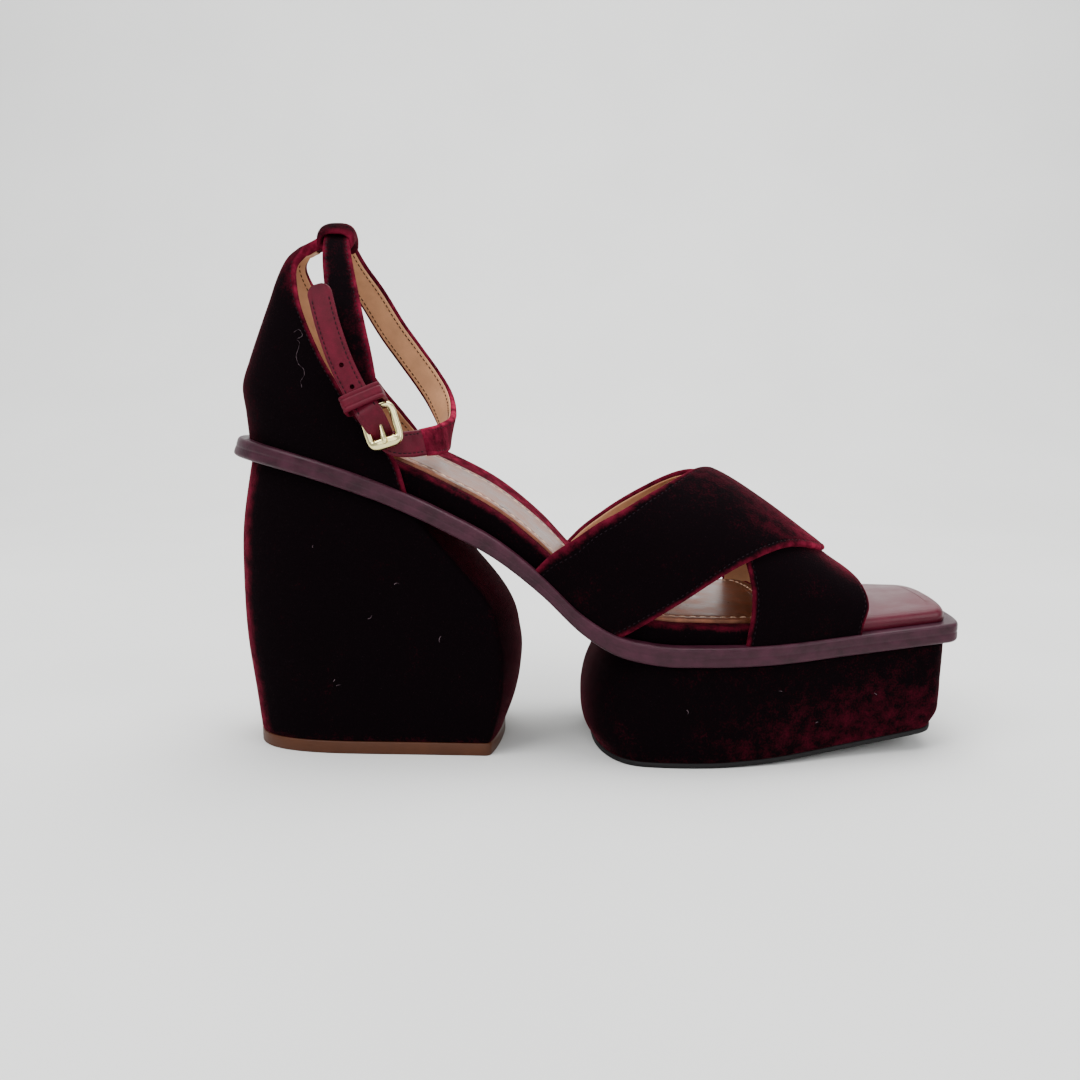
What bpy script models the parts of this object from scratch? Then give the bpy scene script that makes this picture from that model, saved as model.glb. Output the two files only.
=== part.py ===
"""A platform sandal with a block heel, for a right foot.

Metres, +Z up, +X towards the toe and +Y towards the medial side. The origin is on the floor, under
the middle of the sandal's length. The sandal stands on its heel tap and on the sole of its platform.

The rand is the backbone: one board that curves from the heel seat down to the ball. The blocks hang
below it, the footbed, the counter and the vamp stand on it, and all of them read its curve.
"""
import math

import bmesh
import bpy
import numpy as np
from mathutils import Vector

# Driving sizes of the board
LENGTH = 0.2518
BALL_WIDTH = 0.0910
HEEL_RISE = 0.1012
PLATFORM_RISE = 0.0352
RAND_THICKNESS = 0.0066
RAND_EDGE = 0.0013
REAR_LEAN = 0.34
HEEL_ROUND = 0.052
TOE_ROUND = 0.0075

# Driving sizes of the upper and the footbed
LEDGE = 0.0015
REAR_LEDGE = 0.0062
TOE_LEDGE = 0.0040
UPPER_THICKNESS = 0.0022
BAND_RAISE = 0.0020
FOOTBED_THICKNESS = 0.0104
FOOTBED_EDGE = 0.0024
ARCH_TILT = 0.0022
ARCH_LIP = 0.0022
TOE_COVER_START = 0.0665
TOE_COVER_CROWN = 0.0012
SOCK_THICKNESS = 0.0008
SOCK_MARGIN = 0.0046
COUNTER_RISE = 0.0620
INSTEP_RISE = 0.0560

# Driving sizes of the blocks under the board
TAP_THICKNESS = 0.0044
SOLE_THICKNESS = 0.0018
TOE_SPRING = 0.0080
SPRING_START = 0.0370
BLOCK_INSET = 0.0024
BREAST_BOW = 0.0070

# Driving sizes of the strap and the buckle
STRAP_WIDTH = 0.0108
STRAP_THICKNESS = 0.0024
STRAP_TOP = 0.1748
END_WIDTH = 0.0080
END_THICKNESS = 0.0018
KEEPER_BAND = 0.0056
KEEPER_WALL = 0.0010
KEEPER_WIDTH = 0.0142
KEEPER_SHIFT = 0.0008
BUCKLE_WIDTH = 0.0106
BUCKLE_BAR = 0.0012
BUCKLE_ROLLER = 0.0020
PRONG_WIDTH = 0.0016
PRONG_SEAT = 2.2
PRONG_TIP = 0.0010
HOLE_DIAMETER = 0.0016
LOOP_WIDTH = 0.0120
LOOP_WALL = 0.0014
LOOP_BEND = 0.0029
TUNNEL_SLACK = 0.0009

# What touching pieces keep between them, and what they keep where both are curved
GAP = 0.0003
CURVED_GAP = 0.00045


class Table:
    """Rows of hand-chosen shares under named columns, read as smooth curves along the first."""

    def __init__(self, names, rows):
        self.names = names
        self.rows = np.array(rows, dtype=float)
        self.slopes = np.gradient(self.rows, self.rows[:, 0], axis=0)

    def at(self, place):
        """Gives each column's value at one place, by name."""
        places = self.rows[:, 0]
        place = min(max(place, places[0]), places[-1])
        row = min(max(int(np.searchsorted(places, place)) - 1, 0), len(places) - 2)
        span = places[row + 1] - places[row]
        t = (place - places[row]) / span
        values = (
            self.rows[row] * (2 * t ** 3 - 3 * t ** 2 + 1)
            + self.slopes[row] * span * (t ** 3 - 2 * t ** 2 + t)
            + self.rows[row + 1] * (3 * t ** 2 - 2 * t ** 3)
            + self.slopes[row + 1] * span * (t ** 3 - t ** 2)
        )
        return dict(zip(self.names, values))


# The board, from the rear end to the toe. "along" is a share of LENGTH, "rise" of the drop from
# heel to ball, "lateral" and "medial" are half-widths as shares of BALL_WIDTH before the ends are
# rounded, "footbed" is a share of FOOTBED_THICKNESS and "lip" of ARCH_TILT and ARCH_LIP.
BOARD = Table(
    ("along", "rise", "lateral", "medial", "footbed", "lip"),
    (
        (0.000, 1.000, 0.340, 0.319, 0.90, 0.1),
        (0.052, 0.967, 0.340, 0.319, 0.90, 0.2),
        (0.149, 0.877, 0.341, 0.320, 0.92, 0.5),
        (0.224, 0.779, 0.346, 0.320, 0.96, 0.8),
        (0.306, 0.636, 0.357, 0.314, 1.00, 1.0),
        (0.370, 0.503, 0.368, 0.303, 1.00, 1.0),
        (0.430, 0.326, 0.390, 0.298, 0.97, 0.9),
        (0.484, 0.136, 0.423, 0.312, 0.86, 0.7),
        (0.520, 0.056, 0.456, 0.335, 0.78, 0.5),
        (0.574, 0.008, 0.489, 0.385, 0.68, 0.3),
        (0.645, 0.000, 0.500, 0.448, 0.60, 0.1),
        (0.719, 0.000, 0.474, 0.493, 0.53, 0.0),
        (0.838, 0.018, 0.379, 0.452, 0.42, 0.0),
        (1.000, 0.056, 0.270, 0.282, 0.35, 0.0),
    ),
)

# The heel block, level by level. "level" is the share of its height, "rear" and "breast" are
# shares of LENGTH from the rear end, "width" is a share of the board's width there, "square" is how
# square the rear corners are and "bow" is a share of BREAST_BOW.
HEEL = Table(
    ("level", "rear", "breast", "width", "square", "bow"),
    (
        (0.00, 0.031, 0.360, 0.960, 3.2, 0.61),
        (0.14, 0.024, 0.369, 0.965, 3.0, 0.75),
        (0.35, 0.014, 0.376, 0.975, 2.8, 0.86),
        (0.57, 0.011, 0.372, 0.985, 2.6, 1.00),
        (0.77, 0.013, 0.353, 0.993, 2.4, 1.00),
        (0.89, 0.019, 0.312, 0.998, 2.2, 1.00),
        (1.00, 0.026, 0.270, 1.000, 2.1, 1.00),
    ),
)

# The platform block, level by level, with the same columns but for its front end, "toe".
PLATFORM = Table(
    ("level", "rear", "toe", "width"),
    (
        (0.00, 0.500, 0.9740, 0.965),
        (0.10, 0.490, 0.9820, 0.975),
        (0.28, 0.486, 0.9845, 0.985),
        (0.55, 0.491, 0.9850, 0.995),
        (0.80, 0.504, 0.9860, 1.000),
        (1.00, 0.514, 0.9865, 1.000),
    ),
)

# The counter, level by level from the rand to the end of its tab. "rear", "lateral" and "medial"
# are the places of its rear line and of its two front edges, as shares of LENGTH; the columns that
# end in "rise" are their heights above the rand, as shares of COUNTER_RISE. "width" is a share of
# the board's width, and "bend" is the length of the rounded rear, as a share of HEEL_ROUND.
COUNTER = Table(
    ("level", "rear", "rear_rise", "lateral", "lateral_rise", "medial", "medial_rise", "width", "bend"),
    (
        (0, 0.0236, 0.000, 0.2535, 0.000, 0.2695, 0.000, 1.000, 0.92),
        (1, 0.0205, 0.142, 0.2430, 0.129, 0.2600, 0.168, 1.000, 0.92),
        (2, 0.0172, 0.287, 0.2275, 0.210, 0.2475, 0.265, 0.975, 0.90),
        (3, 0.0285, 0.442, 0.1955, 0.294, 0.2270, 0.347, 0.915, 0.84),
        (4, 0.0428, 0.610, 0.1655, 0.434, 0.1955, 0.463, 0.830, 0.76),
        (5, 0.0567, 0.769, 0.1365, 0.587, 0.1575, 0.645, 0.715, 0.66),
        (6, 0.0694, 0.917, 0.1100, 0.787, 0.1235, 0.834, 0.570, 0.52),
        (7, 0.0828, 1.029, 0.0985, 0.975, 0.1040, 0.985, 0.400, 0.34),
        (8, 0.0985, 1.097, 0.1065, 1.068, 0.1065, 1.070, 0.270, 0.10),
        (9, 0.1098, 1.130, 0.1133, 1.118, 0.1133, 1.118, 0.230, 0.05),
        (10, 0.1190, 1.156, 0.1213, 1.148, 0.1213, 1.148, 0.225, 0.03),
    ),
)

# The arch that the vamp's bands lie on. "crown" is its height over the rand at mid-width, as a
# share of INSTEP_RISE, and "square" is how square its shoulders are.
INSTEP = Table(
    ("along", "crown", "square"),
    (
        (0.40, 1.200, 2.00),
        (0.54, 1.075, 2.10),
        (0.61, 0.965, 2.20),
        (0.67, 0.885, 2.30),
        (0.73, 0.715, 2.50),
        (0.79, 0.505, 2.80),
        (0.83, 0.360, 3.00),
        (0.87, 0.240, 3.20),
        (0.91, 0.150, 3.20),
    ),
)

# The two bands of the vamp. "turn" is the share of the way over the foot, from the lateral side
# of the rand to the medial side, the next four columns are the bands' edges as shares of LENGTH,
# and "raise" is how far the upper band rides over the lower one.
BANDS = Table(
    ("turn", "over_rear", "over_front", "under_rear", "under_front", "raise"),
    (
        (0.00, 0.422, 0.535, 0.692, 0.852, 0.0),
        (0.05, 0.444, 0.585, 0.698, 0.857, 0.0),
        (0.10, 0.468, 0.635, 0.699, 0.861, 0.3),
        (0.17, 0.504, 0.695, 0.692, 0.862, 0.8),
        (0.25, 0.552, 0.745, 0.684, 0.860, 1.0),
        (0.35, 0.602, 0.793, 0.676, 0.857, 1.0),
        (0.50, 0.658, 0.820, 0.658, 0.842, 1.0),
        (0.65, 0.692, 0.834, 0.612, 0.800, 1.0),
        (0.75, 0.706, 0.842, 0.568, 0.754, 1.0),
        (0.83, 0.712, 0.848, 0.523, 0.706, 0.8),
        (0.90, 0.716, 0.852, 0.487, 0.648, 0.3),
        (0.95, 0.717, 0.855, 0.466, 0.602, 0.0),
        (1.00, 0.716, 0.857, 0.448, 0.553, 0.0),
    ),
)

# The ankle strap's middle line. "along" is a share of LENGTH from the rear end, "across" of
# BALL_WIDTH towards the medial side and "height" of STRAP_TOP; "out" is the way its velvet faces.
# "width" and "thick" are shares of its width and thickness: it is doubled where it holds the buckle.
STRAP = Table(
    ("step", "along", "across", "height", "out_x", "out_y", "out_z", "width", "thick"),
    (
        (0, 0.2156, -0.366, 0.6640, 0.05, -1.00, 0.05, 0.49, 1.9),
        (1, 0.2035, -0.348, 0.7000, 0.05, -1.00, 0.05, 0.84, 1.1),
        (2, 0.1920, -0.318, 0.7600, 0.05, -1.00, 0.10, 1.00, 1.0),
        (3, 0.1810, -0.272, 0.8220, 0.05, -0.95, 0.20, 1.00, 1.0),
        (4, 0.1705, -0.212, 0.8780, 0.05, -0.90, 0.35, 1.00, 1.0),
        (5, 0.1600, -0.132, 0.9430, 0.05, -0.82, 0.55, 0.92, 1.0),
        (6, 0.1548, -0.066, 0.9850, 0.02, -0.55, 0.83, 0.82, 1.0),
        (7, 0.1545, 0.000, 1.0020, 0.00, 0.00, 1.00, 0.80, 1.0),
        (8, 0.1556, 0.066, 0.9850, 0.02, 0.55, 0.83, 0.82, 1.0),
        (9, 0.1665, 0.134, 0.9430, 0.05, 0.82, 0.55, 0.92, 1.0),
        (10, 0.1880, 0.192, 0.8900, 0.10, 0.90, 0.30, 1.00, 1.0),
        (11, 0.2120, 0.236, 0.8280, 0.10, 0.95, 0.15, 1.00, 1.0),
        (12, 0.2355, 0.263, 0.7780, 0.10, 1.00, 0.10, 1.00, 1.0),
        (13, 0.2600, 0.273, 0.7280, 0.15, 1.00, 0.00, 1.00, 1.0),
        (14, 0.2790, 0.248, 0.6860, 0.35, 0.90, -0.15, 1.00, 1.0),
        (15, 0.2930, 0.170, 0.6460, 0.75, 0.60, -0.28, 1.00, 1.0),
        (16, 0.3010, 0.020, 0.6220, 0.98, 0.05, -0.20, 1.00, 1.0),
        (17, 0.2945, -0.130, 0.6110, 0.80, -0.60, 0.10, 0.95, 1.0),
        (18, 0.2742, -0.2625, 0.6080, 0.42, -0.87, 0.23, 0.86, 1.0),
    ),
)

# The strap's leather end, from where it leaves the velvet to its tip, with the same first columns.
# It runs on the ankle strap's own line where "over" is above nought, outside its "over" thicknesses,
# and inside the buckle's lower bar where "under" is one.
STRAP_END = Table(
    ("step", "along", "across", "height", "out_x", "out_y", "out_z", "width", "over", "under"),
    (
        (0, 0.2730, -0.268, 0.6080, 0.40, -0.88, 0.22, 1.10, 0.0, 0.0),
        (1, 0.2600, -0.315, 0.6070, 0.25, -0.95, 0.15, 1.08, 0.0, 0.0),
        (2, 0.2440, -0.350, 0.6080, 0.10, -1.00, 0.08, 1.00, 0.0, 0.3),
        (3, 0.2295, -0.376, 0.6160, 0.00, -1.00, 0.00, 0.84, 0.0, 1.05),
        (4, 0.2220, -0.378, 0.6380, 0.00, -1.00, 0.25, 0.82, 0.0, 0.50),
        (5, 0.2135, -0.368, 0.6600, 0.00, -1.00, 0.20, 0.86, 1.55, 0.0),
        (6, 0.2050, -0.356, 0.6820, 0.00, -1.00, 0.05, 0.95, 1.40, 0.0),
        (7, 0.1920, -0.345, 0.7110, 0.00, -1.00, -0.05, 0.98, 1.30, 0.0),
        (8, 0.1745, -0.332, 0.7630, 0.00, -1.00, -0.08, 1.00, 1.20, 0.0),
        (9, 0.1590, -0.306, 0.8250, 0.00, -1.00, -0.10, 1.00, 1.20, 0.0),
        (10, 0.1480, -0.278, 0.8820, 0.00, -1.00, -0.10, 1.00, 1.20, 0.0),
    ),
)
HOLE_STEPS = (6.30, 7.07, 7.83)
TIP_LENGTH = 0.0030
TIP_TURNS = (25, 50, 70, 82)

# The buckle's two bars: "along", "across" and "height" in the shares of the strap's tables
BUCKLE = Table(
    ("bar", "along", "across", "height"),
    (
        (0, 0.2288, -0.379, 0.6110),
        (1, 0.2150, -0.363, 0.6740),
    ),
)
KEEPER_STEP = 0.78

# Colours as sRGB hex values, with roughness and metallic values
FINISHES = {
    "velvet": ("#2A0A16", 0.95, 0.0),
    "rand_leather": ("#6B4450", 0.45, 0.0),
    "toe_leather": ("#7A2A3C", 0.40, 0.0),
    "strap_leather": ("#8A3040", 0.45, 0.0),
    "sock_leather": ("#A07A64", 0.30, 0.6),
    "tap": ("#8A4E28", 0.60, 0.0),
    "sole_rubber": ("#1A1618", 0.70, 0.0),
    "pale_gold": ("#E8DCA0", 0.25, 1.0),
}


def clear_scene():
    """Removes every object of the scene."""
    for item in list(bpy.data.objects):
        bpy.data.objects.remove(item, do_unlink=True)


def linear(channel):
    """Turns one sRGB channel from 0 to 1 into a linear one."""
    if channel <= 0.04045:
        return channel / 12.92
    return ((channel + 0.055) / 1.055) ** 2.4


def finish(name, finish_name):
    """Makes a node's own material from the table of finishes."""
    colour, roughness, metallic = FINISHES[finish_name]
    channels = [linear(int(colour[i:i + 2], 16) / 255) for i in (1, 3, 5)]
    material = bpy.data.materials.new(f"{name}_{finish_name}")
    material.use_nodes = True
    shader = material.node_tree.nodes["Principled BSDF"]
    shader.inputs["Base Color"].default_value = (*channels, 1.0)
    shader.inputs["Roughness"].default_value = roughness
    shader.inputs["Metallic"].default_value = metallic
    return material


def solid(name, points, faces, finish_name, sharp_angle=40.0):
    """Makes one named object from points and faces, facing out and smoothly shaded."""
    mesh = bpy.data.meshes.new(name)
    mesh.from_pydata([tuple(point) for point in points], [], faces)
    work = bmesh.new()
    work.from_mesh(mesh)
    bmesh.ops.recalc_face_normals(work, faces=work.faces)
    work.to_mesh(mesh)
    work.free()
    mesh.shade_smooth()
    mesh.set_sharp_from_angle(angle=math.radians(sharp_angle))
    item = bpy.data.objects.new(name, mesh)
    bpy.context.scene.collection.objects.link(item)
    item.data.materials.append(finish(name, finish_name))
    return item


def loft(rings, closed=False, paired=False):
    """Joins rings of points into a closed body.

    The end rings are capped, unless the loft closes on itself. Paired caps run in strips between
    the two halves of a ring, so that they can follow a curved board.
    """
    size = len(rings[0])
    points = [point for ring in rings for point in ring]
    faces = []
    spans = len(rings) if closed else len(rings) - 1
    for span in range(spans):
        first = span * size
        second = (span + 1) % len(rings) * size
        for i in range(size):
            j = (i + 1) % size
            faces.append((first + i, first + j, second + j, second + i))
    if closed:
        return points, faces
    for start in (0, (len(rings) - 1) * size):
        if paired:
            for i in range(size // 2 - 1):
                faces.append((start + i, start + i + 1, start + size - 2 - i, start + size - 1 - i))
        else:
            faces.append(tuple(range(start, start + size)))
    return points, faces


def shell(outer, inner):
    """Joins two grids of points, one on each side of a wall, into a closed body."""
    rows = len(outer)
    columns = len(outer[0])
    points = [point for grid in (outer, inner) for row in grid for point in row]

    def place(layer, row, column):
        return (layer * rows + row) * columns + column

    faces = []
    for layer in (0, 1):
        for row in range(rows - 1):
            for column in range(columns - 1):
                faces.append((
                    place(layer, row, column),
                    place(layer, row, column + 1),
                    place(layer, row + 1, column + 1),
                    place(layer, row + 1, column),
                ))
    rim = [(0, column) for column in range(columns - 1)]
    rim += [(row, columns - 1) for row in range(rows - 1)]
    rim += [(rows - 1, column) for column in range(columns - 1, 0, -1)]
    rim += [(row, 0) for row in range(rows - 1, 0, -1)]
    for here, there in zip(rim, rim[1:] + rim[:1]):
        faces.append((place(0, *here), place(0, *there), place(1, *there), place(1, *here)))
    return points, faces


def grid_normals(grid):
    """Gives the unit normal at each point of a grid, from its neighbours."""
    places = np.array([[tuple(point) for point in row] for row in grid])
    normals = np.cross(np.gradient(places, axis=0), np.gradient(places, axis=1))
    return normals / np.linalg.norm(normals, axis=2, keepdims=True)


def moved(grid, normals, distance):
    """Moves each point of a grid along its normal, by one distance or by a grid of them."""
    places = np.array([[tuple(point) for point in row] for row in grid])
    distances = np.broadcast_to(np.asarray(distance, dtype=float), places.shape[:2])
    return places + normals * distances[:, :, None]


# The board and what is read from it
def place_of(along):
    """X of a share of the length, counted from the rear end."""
    return (along - 0.5) * LENGTH


def board(x, column):
    """One column of the board's table at x."""
    return BOARD.at(x / LENGTH + 0.5)[column]


def rand_under(x):
    """Height of the rand's underside."""
    return PLATFORM_RISE + board(x, "rise") * (HEEL_RISE - PLATFORM_RISE)


def rand_top(x):
    """Height of the rand's top face."""
    return rand_under(x) + RAND_THICKNESS


def footbed_top(x):
    """Height of the footbed at mid-width."""
    return rand_top(x) + GAP + board(x, "footbed") * FOOTBED_THICKNESS


def sole_under(x):
    """Height of the platform's sole: flat on the floor, then rising to the toe."""
    share = max(x - SPRING_START, 0.0) / (LENGTH / 2 - SPRING_START)
    return TOE_SPRING * share ** 1.6


def end_share(distance, length, power):
    """Share of the full width at a distance in from a rounded end."""
    left = 1.0 - min(max(distance / length, 0.0), 1.0)
    return (1.0 - left ** power) ** (1.0 / power)


def end_steps(length, power, count):
    """Distances in from a rounded end, closest together where it turns fastest."""
    first_step = 0.35
    distances = []
    for step in range(count + 1):
        angle = math.pi / 2 * (step + first_step) / (count + first_step)
        distances.append(length * (1.0 - max(math.cos(angle), 0.0) ** (2.0 / power)))
    return distances


class Outline:
    """A plan outline: the board's sides, moved in by an inset, between two rounded ends.

    Without a toe end it is cut square there, or ends in a shallow arc of the height "bow".
    """

    def __init__(self, rear, toe, inset, rear_end, toe_end, width=1.0, bow=0.0):
        self.rear = rear
        self.toe = toe
        self.inset = inset
        self.rear_end = rear_end
        self.toe_end = toe_end
        self.width = width
        self.bow = bow

    def half(self, x, side):
        """Half-width at x, on the lateral or the medial side."""
        share = end_share(x - self.rear, *self.rear_end)
        if self.toe_end:
            share *= end_share(self.toe - x, *self.toe_end)
        return (board(x, side) * BALL_WIDTH - self.inset) * share * self.width

    def side(self, side):
        """Half-width at the toe end, where that end is cut square."""
        return (board(self.toe, side) * BALL_WIDTH - self.inset) * self.width

    def stations(self, rear_count, middle_count, toe_count):
        """Places along the outline, from the rear end to the toe end."""
        rear = [self.rear + step for step in end_steps(*self.rear_end, rear_count)]
        toe = [self.toe]
        if self.toe_end:
            toe = [self.toe - step for step in reversed(end_steps(*self.toe_end, toe_count))]
        middle = list(np.linspace(rear[-1], toe[0], middle_count + 1)[1:-1])
        return rear + middle + toe


# How a section's corner is cut: the share of its radius inwards and downwards
CORNER = ((0.0, 1.0), (0.29, 0.29), (1.0, 0.0))


def section(x, lateral, medial, low, high, low_edge, high_edge, across=()):
    """One cross-section of a slab: up the lateral side, over the top and down the medial side.

    The top may be dished: "high" gives its height from the share of the width.
    """
    low_edge = min(low_edge, 0.8 * lateral)
    high_edge = min(high_edge, 0.8 * lateral)
    ring = []
    for inwards, downwards in reversed(CORNER):
        ring.append((x, -lateral + inwards * low_edge, low + downwards * low_edge))
    for inwards, downwards in CORNER:
        y = -lateral + inwards * high_edge
        ring.append((x, y, high(y / lateral) - downwards * high_edge))
    for share in across:
        y = share * (medial if share > 0 else lateral)
        ring.append((x, y, high(share)))
    for inwards, downwards in reversed(CORNER):
        y = medial - inwards * high_edge
        ring.append((x, y, high(y / medial) - downwards * high_edge))
    for inwards, downwards in CORNER:
        ring.append((x, medial - inwards * low_edge, low + downwards * low_edge))
    return ring


def slab(name, outline, steps, low, high, edges, finish_name, across=()):
    """A slab with the outline's plan, between its underside and its top."""
    rings = []
    for x in outline.stations(*steps):
        lateral = outline.half(x, "lateral")
        medial = outline.half(x, "medial")
        ring = section(x, lateral, medial, low(x), lambda share: high(x, share), *edges, across)
        rings.append(ring)
    return solid(name, *loft(rings), finish_name)


# Plan outlines, each one set in from the rand by what stands between them
REAR_END = (HEEL_ROUND, 2.0)
TOE_END = (TOE_ROUND, 4.0)


def nested_outline(side_inset, end_inset):
    """An outline that keeps to the rand's own, set in at the sides and at both ends."""
    rear_end = (HEEL_ROUND - end_inset, REAR_END[1])
    toe_end = (TOE_ROUND, TOE_END[1])
    rear = -LENGTH / 2 + end_inset
    return Outline(rear, LENGTH / 2 - end_inset, side_inset, rear_end, toe_end)


FOOTBED_INSET = LEDGE + UPPER_THICKNESS + GAP + CURVED_GAP
FOOTBED_END_INSET = REAR_LEDGE + UPPER_THICKNESS + CURVED_GAP


def make_rand():
    """The leather-covered board, a ledge wider than what stands on it.

    Its rear end is cut square to the board's slope, so its top starts further forward.
    """
    outline = nested_outline(0.0, 0.0)
    rings = []
    for x in outline.stations(9, 34, 5):
        halves = (outline.half(x, "lateral"), outline.half(x, "medial"))
        ring = section(x, *halves, rand_under(x), lambda share: rand_top(x), RAND_EDGE, RAND_EDGE)
        lean = REAR_LEAN * max(1.0 - (x - outline.rear) / HEEL_ROUND, 0.0) ** 2
        leaned = []
        for _, y, z in ring:
            place = x + lean * (z - rand_under(x))
            leaned.append((place, y, z + rand_under(place) - rand_under(x)))
        rings.append(leaned)
    solid("rand", *loft(rings), "rand_leather")


def dished_top(x, share):
    """Height of the footbed, which rises to its medial edge along the arch."""
    lip = ARCH_LIP * share ** 4 if share > 0 else 0.0
    return footbed_top(x) + board(x, "lip") * (ARCH_TILT * share + lip)


def make_footbed():
    """The velvet-wrapped footbed, from the heel to the leather at the toe."""
    outline = nested_outline(FOOTBED_INSET, FOOTBED_END_INSET)
    outline.toe = TOE_COVER_START
    outline.toe_end = (0.0008, 4.0)
    low = lambda x: rand_top(x) + CURVED_GAP
    edges = (0.0006, FOOTBED_EDGE)
    across = (-0.6, 0.0, 0.5, 0.75)
    slab("footbed", outline, (8, 26, 1), low, dished_top, edges, "velvet", across)


def make_toe_cover():
    """The padded leather over the toe end of the footbed."""
    outline = nested_outline(FOOTBED_INSET, TOE_LEDGE)
    outline.rear = TOE_COVER_START + GAP
    outline.rear_end = (0.0008, 4.0)
    low = lambda x: rand_top(x) + GAP

    def high(x, share):
        """Height of the cover, slightly crowned."""
        return footbed_top(x) + TOE_COVER_CROWN * (1.0 - share ** 2)

    edges = (0.0006, 0.0020)
    across = (-0.6, 0.0, 0.6)
    slab("toe_cover", outline, (1, 10, 4), low, high, edges, "toe_leather", across)


def make_sock():
    """The metallic leather sock, with a margin of velvet around it."""
    outline = nested_outline(FOOTBED_INSET + SOCK_MARGIN, FOOTBED_END_INSET + SOCK_MARGIN)
    outline.toe = TOE_COVER_START - 0.0020
    outline.toe_end = (0.0040, 2.5)
    whole = nested_outline(FOOTBED_INSET, FOOTBED_END_INSET)

    def scaled(x, share):
        """The share of the footbed's width under a share of the sock's."""
        side = "medial" if share > 0 else "lateral"
        return share * outline.half(x, side) / whole.half(x, side)

    rings = []
    for x in outline.stations(6, 26, 3):
        shares = (-1.0, -0.6, 0.0, 0.5, 0.75, 1.0)
        heights = [dished_top(x, scaled(x, share)) + CURVED_GAP for share in shares]
        widths = [share * outline.half(x, "medial" if share > 0 else "lateral") for share in shares]
        ring = [(x, y, z) for y, z in zip(widths, heights)]
        ring += [(x, y, z + SOCK_THICKNESS) for y, z in zip(reversed(widths), reversed(heights))]
        rings.append(ring)
    solid("sock", *loft(rings), "sock_leather")


# The blocks under the board; a bowed end is read at these shares of its half-width
BOW_SHARES = (0.80, 0.55, 0.30, 0.10)


def block(name, levels, outline_at, low, high, steps, finish_name):
    """A block lofted through plan rings, level by level, from its base to the underside above."""
    rings = []
    for level in levels:
        outline = outline_at(level)
        places = outline.stations(*steps)
        lateral = [outline.half(x, "lateral") for x in places]
        medial = [outline.half(x, "medial") for x in places]
        if outline.bow:
            for share in BOW_SHARES:
                places.append(outline.toe + outline.bow * (1.0 - share ** 2))
                lateral.append(share * outline.side("lateral"))
                medial.append(share * outline.side("medial"))
        heights = [low(x) + level * (high(x) - low(x)) for x in places]
        ring = [(x, -half, z) for x, half, z in zip(places, lateral, heights)]
        ring += [(x, half, z) for x, half, z in reversed(list(zip(places, medial, heights)))]
        rings.append(ring)
    return solid(name, *loft(rings, paired=True), finish_name)


def heel_outline(level):
    """The heel block's plan at one level."""
    row = HEEL.at(level)
    rear = place_of(row["rear"])
    breast = place_of(row["breast"])
    rear_end = (HEEL_ROUND, row["square"])
    return Outline(rear, breast, BLOCK_INSET, rear_end, None, row["width"], row["bow"] * BREAST_BOW)


def make_heel():
    """The heel block, and the tap under it with the plan of the block's base."""
    levels = (0.0, 0.14, 0.30, 0.45, 0.57, 0.68, 0.77, 0.84, 0.89, 0.95, 1.0)
    low = lambda x: TAP_THICKNESS + GAP
    high = lambda x: rand_under(x) - GAP
    block("heel_block", levels, heel_outline, low, high, (7, 5, 0), "velvet")
    base = lambda level: heel_outline(0.0)
    block("heel_tap", (0.0, 1.0), base, lambda x: 0.0, lambda x: TAP_THICKNESS, (7, 5, 0), "tap")


def platform_outline(level):
    """The platform block's plan at one level."""
    row = PLATFORM.at(level)
    rear = place_of(row["rear"])
    toe = place_of(row["toe"])
    return Outline(rear, toe, BLOCK_INSET, (0.018, 2.6), (0.0085, 3.2), row["width"])


def make_platform():
    """The platform block, and the thin sole under it with the plan of the block's base."""
    levels = (0.0, 0.05, 0.12, 0.28, 0.50, 0.80, 1.0)
    low = lambda x: sole_under(x) + SOLE_THICKNESS + GAP
    high = lambda x: rand_under(x) - GAP
    block("platform_block", levels, platform_outline, low, high, (6, 15, 5), "velvet")
    base = lambda level: platform_outline(0.0)
    high = lambda x: sole_under(x) + SOLE_THICKNESS
    block("platform_sole", (0.0, 1.0), base, sole_under, high, (6, 15, 5), "sole_rubber")


# The counter and the loop on its tab
def counter_point(level, turn):
    """A point of the counter's outside, from its lateral edge (-1) round the rear to its medial (1)."""
    row = COUNTER.at(level)
    side = "medial" if turn > 0 else "lateral"
    rear = place_of(row["rear"])
    reach = place_of(row[side]) - rear
    share = abs(turn) ** 2
    x = rear + reach * share
    half = (board(x, side) * BALL_WIDTH - LEDGE) * row["width"]
    half *= end_share(reach * share, row["bend"] * HEEL_ROUND, 2.0)
    rise = row["rear_rise"] + (row[f"{side}_rise"] - row["rear_rise"]) * share
    z = rand_top(x) + GAP + rise * COUNTER_RISE
    return Vector((x, math.copysign(half, turn), z))


def make_counter():
    """The hollow heel counter with the tab at its top."""
    levels = np.concatenate([np.linspace(0, 7, 11), np.linspace(7.5, 10, 6)])
    turns = np.linspace(-1.0, 1.0, 25)
    outer = [[counter_point(level, turn) for turn in turns] for level in levels]
    normals = grid_normals(outer)
    if normals[0][len(turns) // 2][0] > 0:
        normals = -normals
    normals[0, :, 2] = 0.0
    inner = moved(outer, normals, -UPPER_THICKNESS)
    solid("counter", *shell(outer, inner), "velvet")


def squared_ring(count, power):
    """Turns round a ring with squared corners: shares across and up, for each of its steps."""
    turns = []
    for step in range(count):
        angle = 2 * math.pi * (step + 0.5) / count
        across = math.copysign(abs(math.cos(angle)) ** power, math.cos(angle))
        up = math.copysign(abs(math.sin(angle)) ** power, math.sin(angle))
        turns.append((across, up))
    return turns


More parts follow.
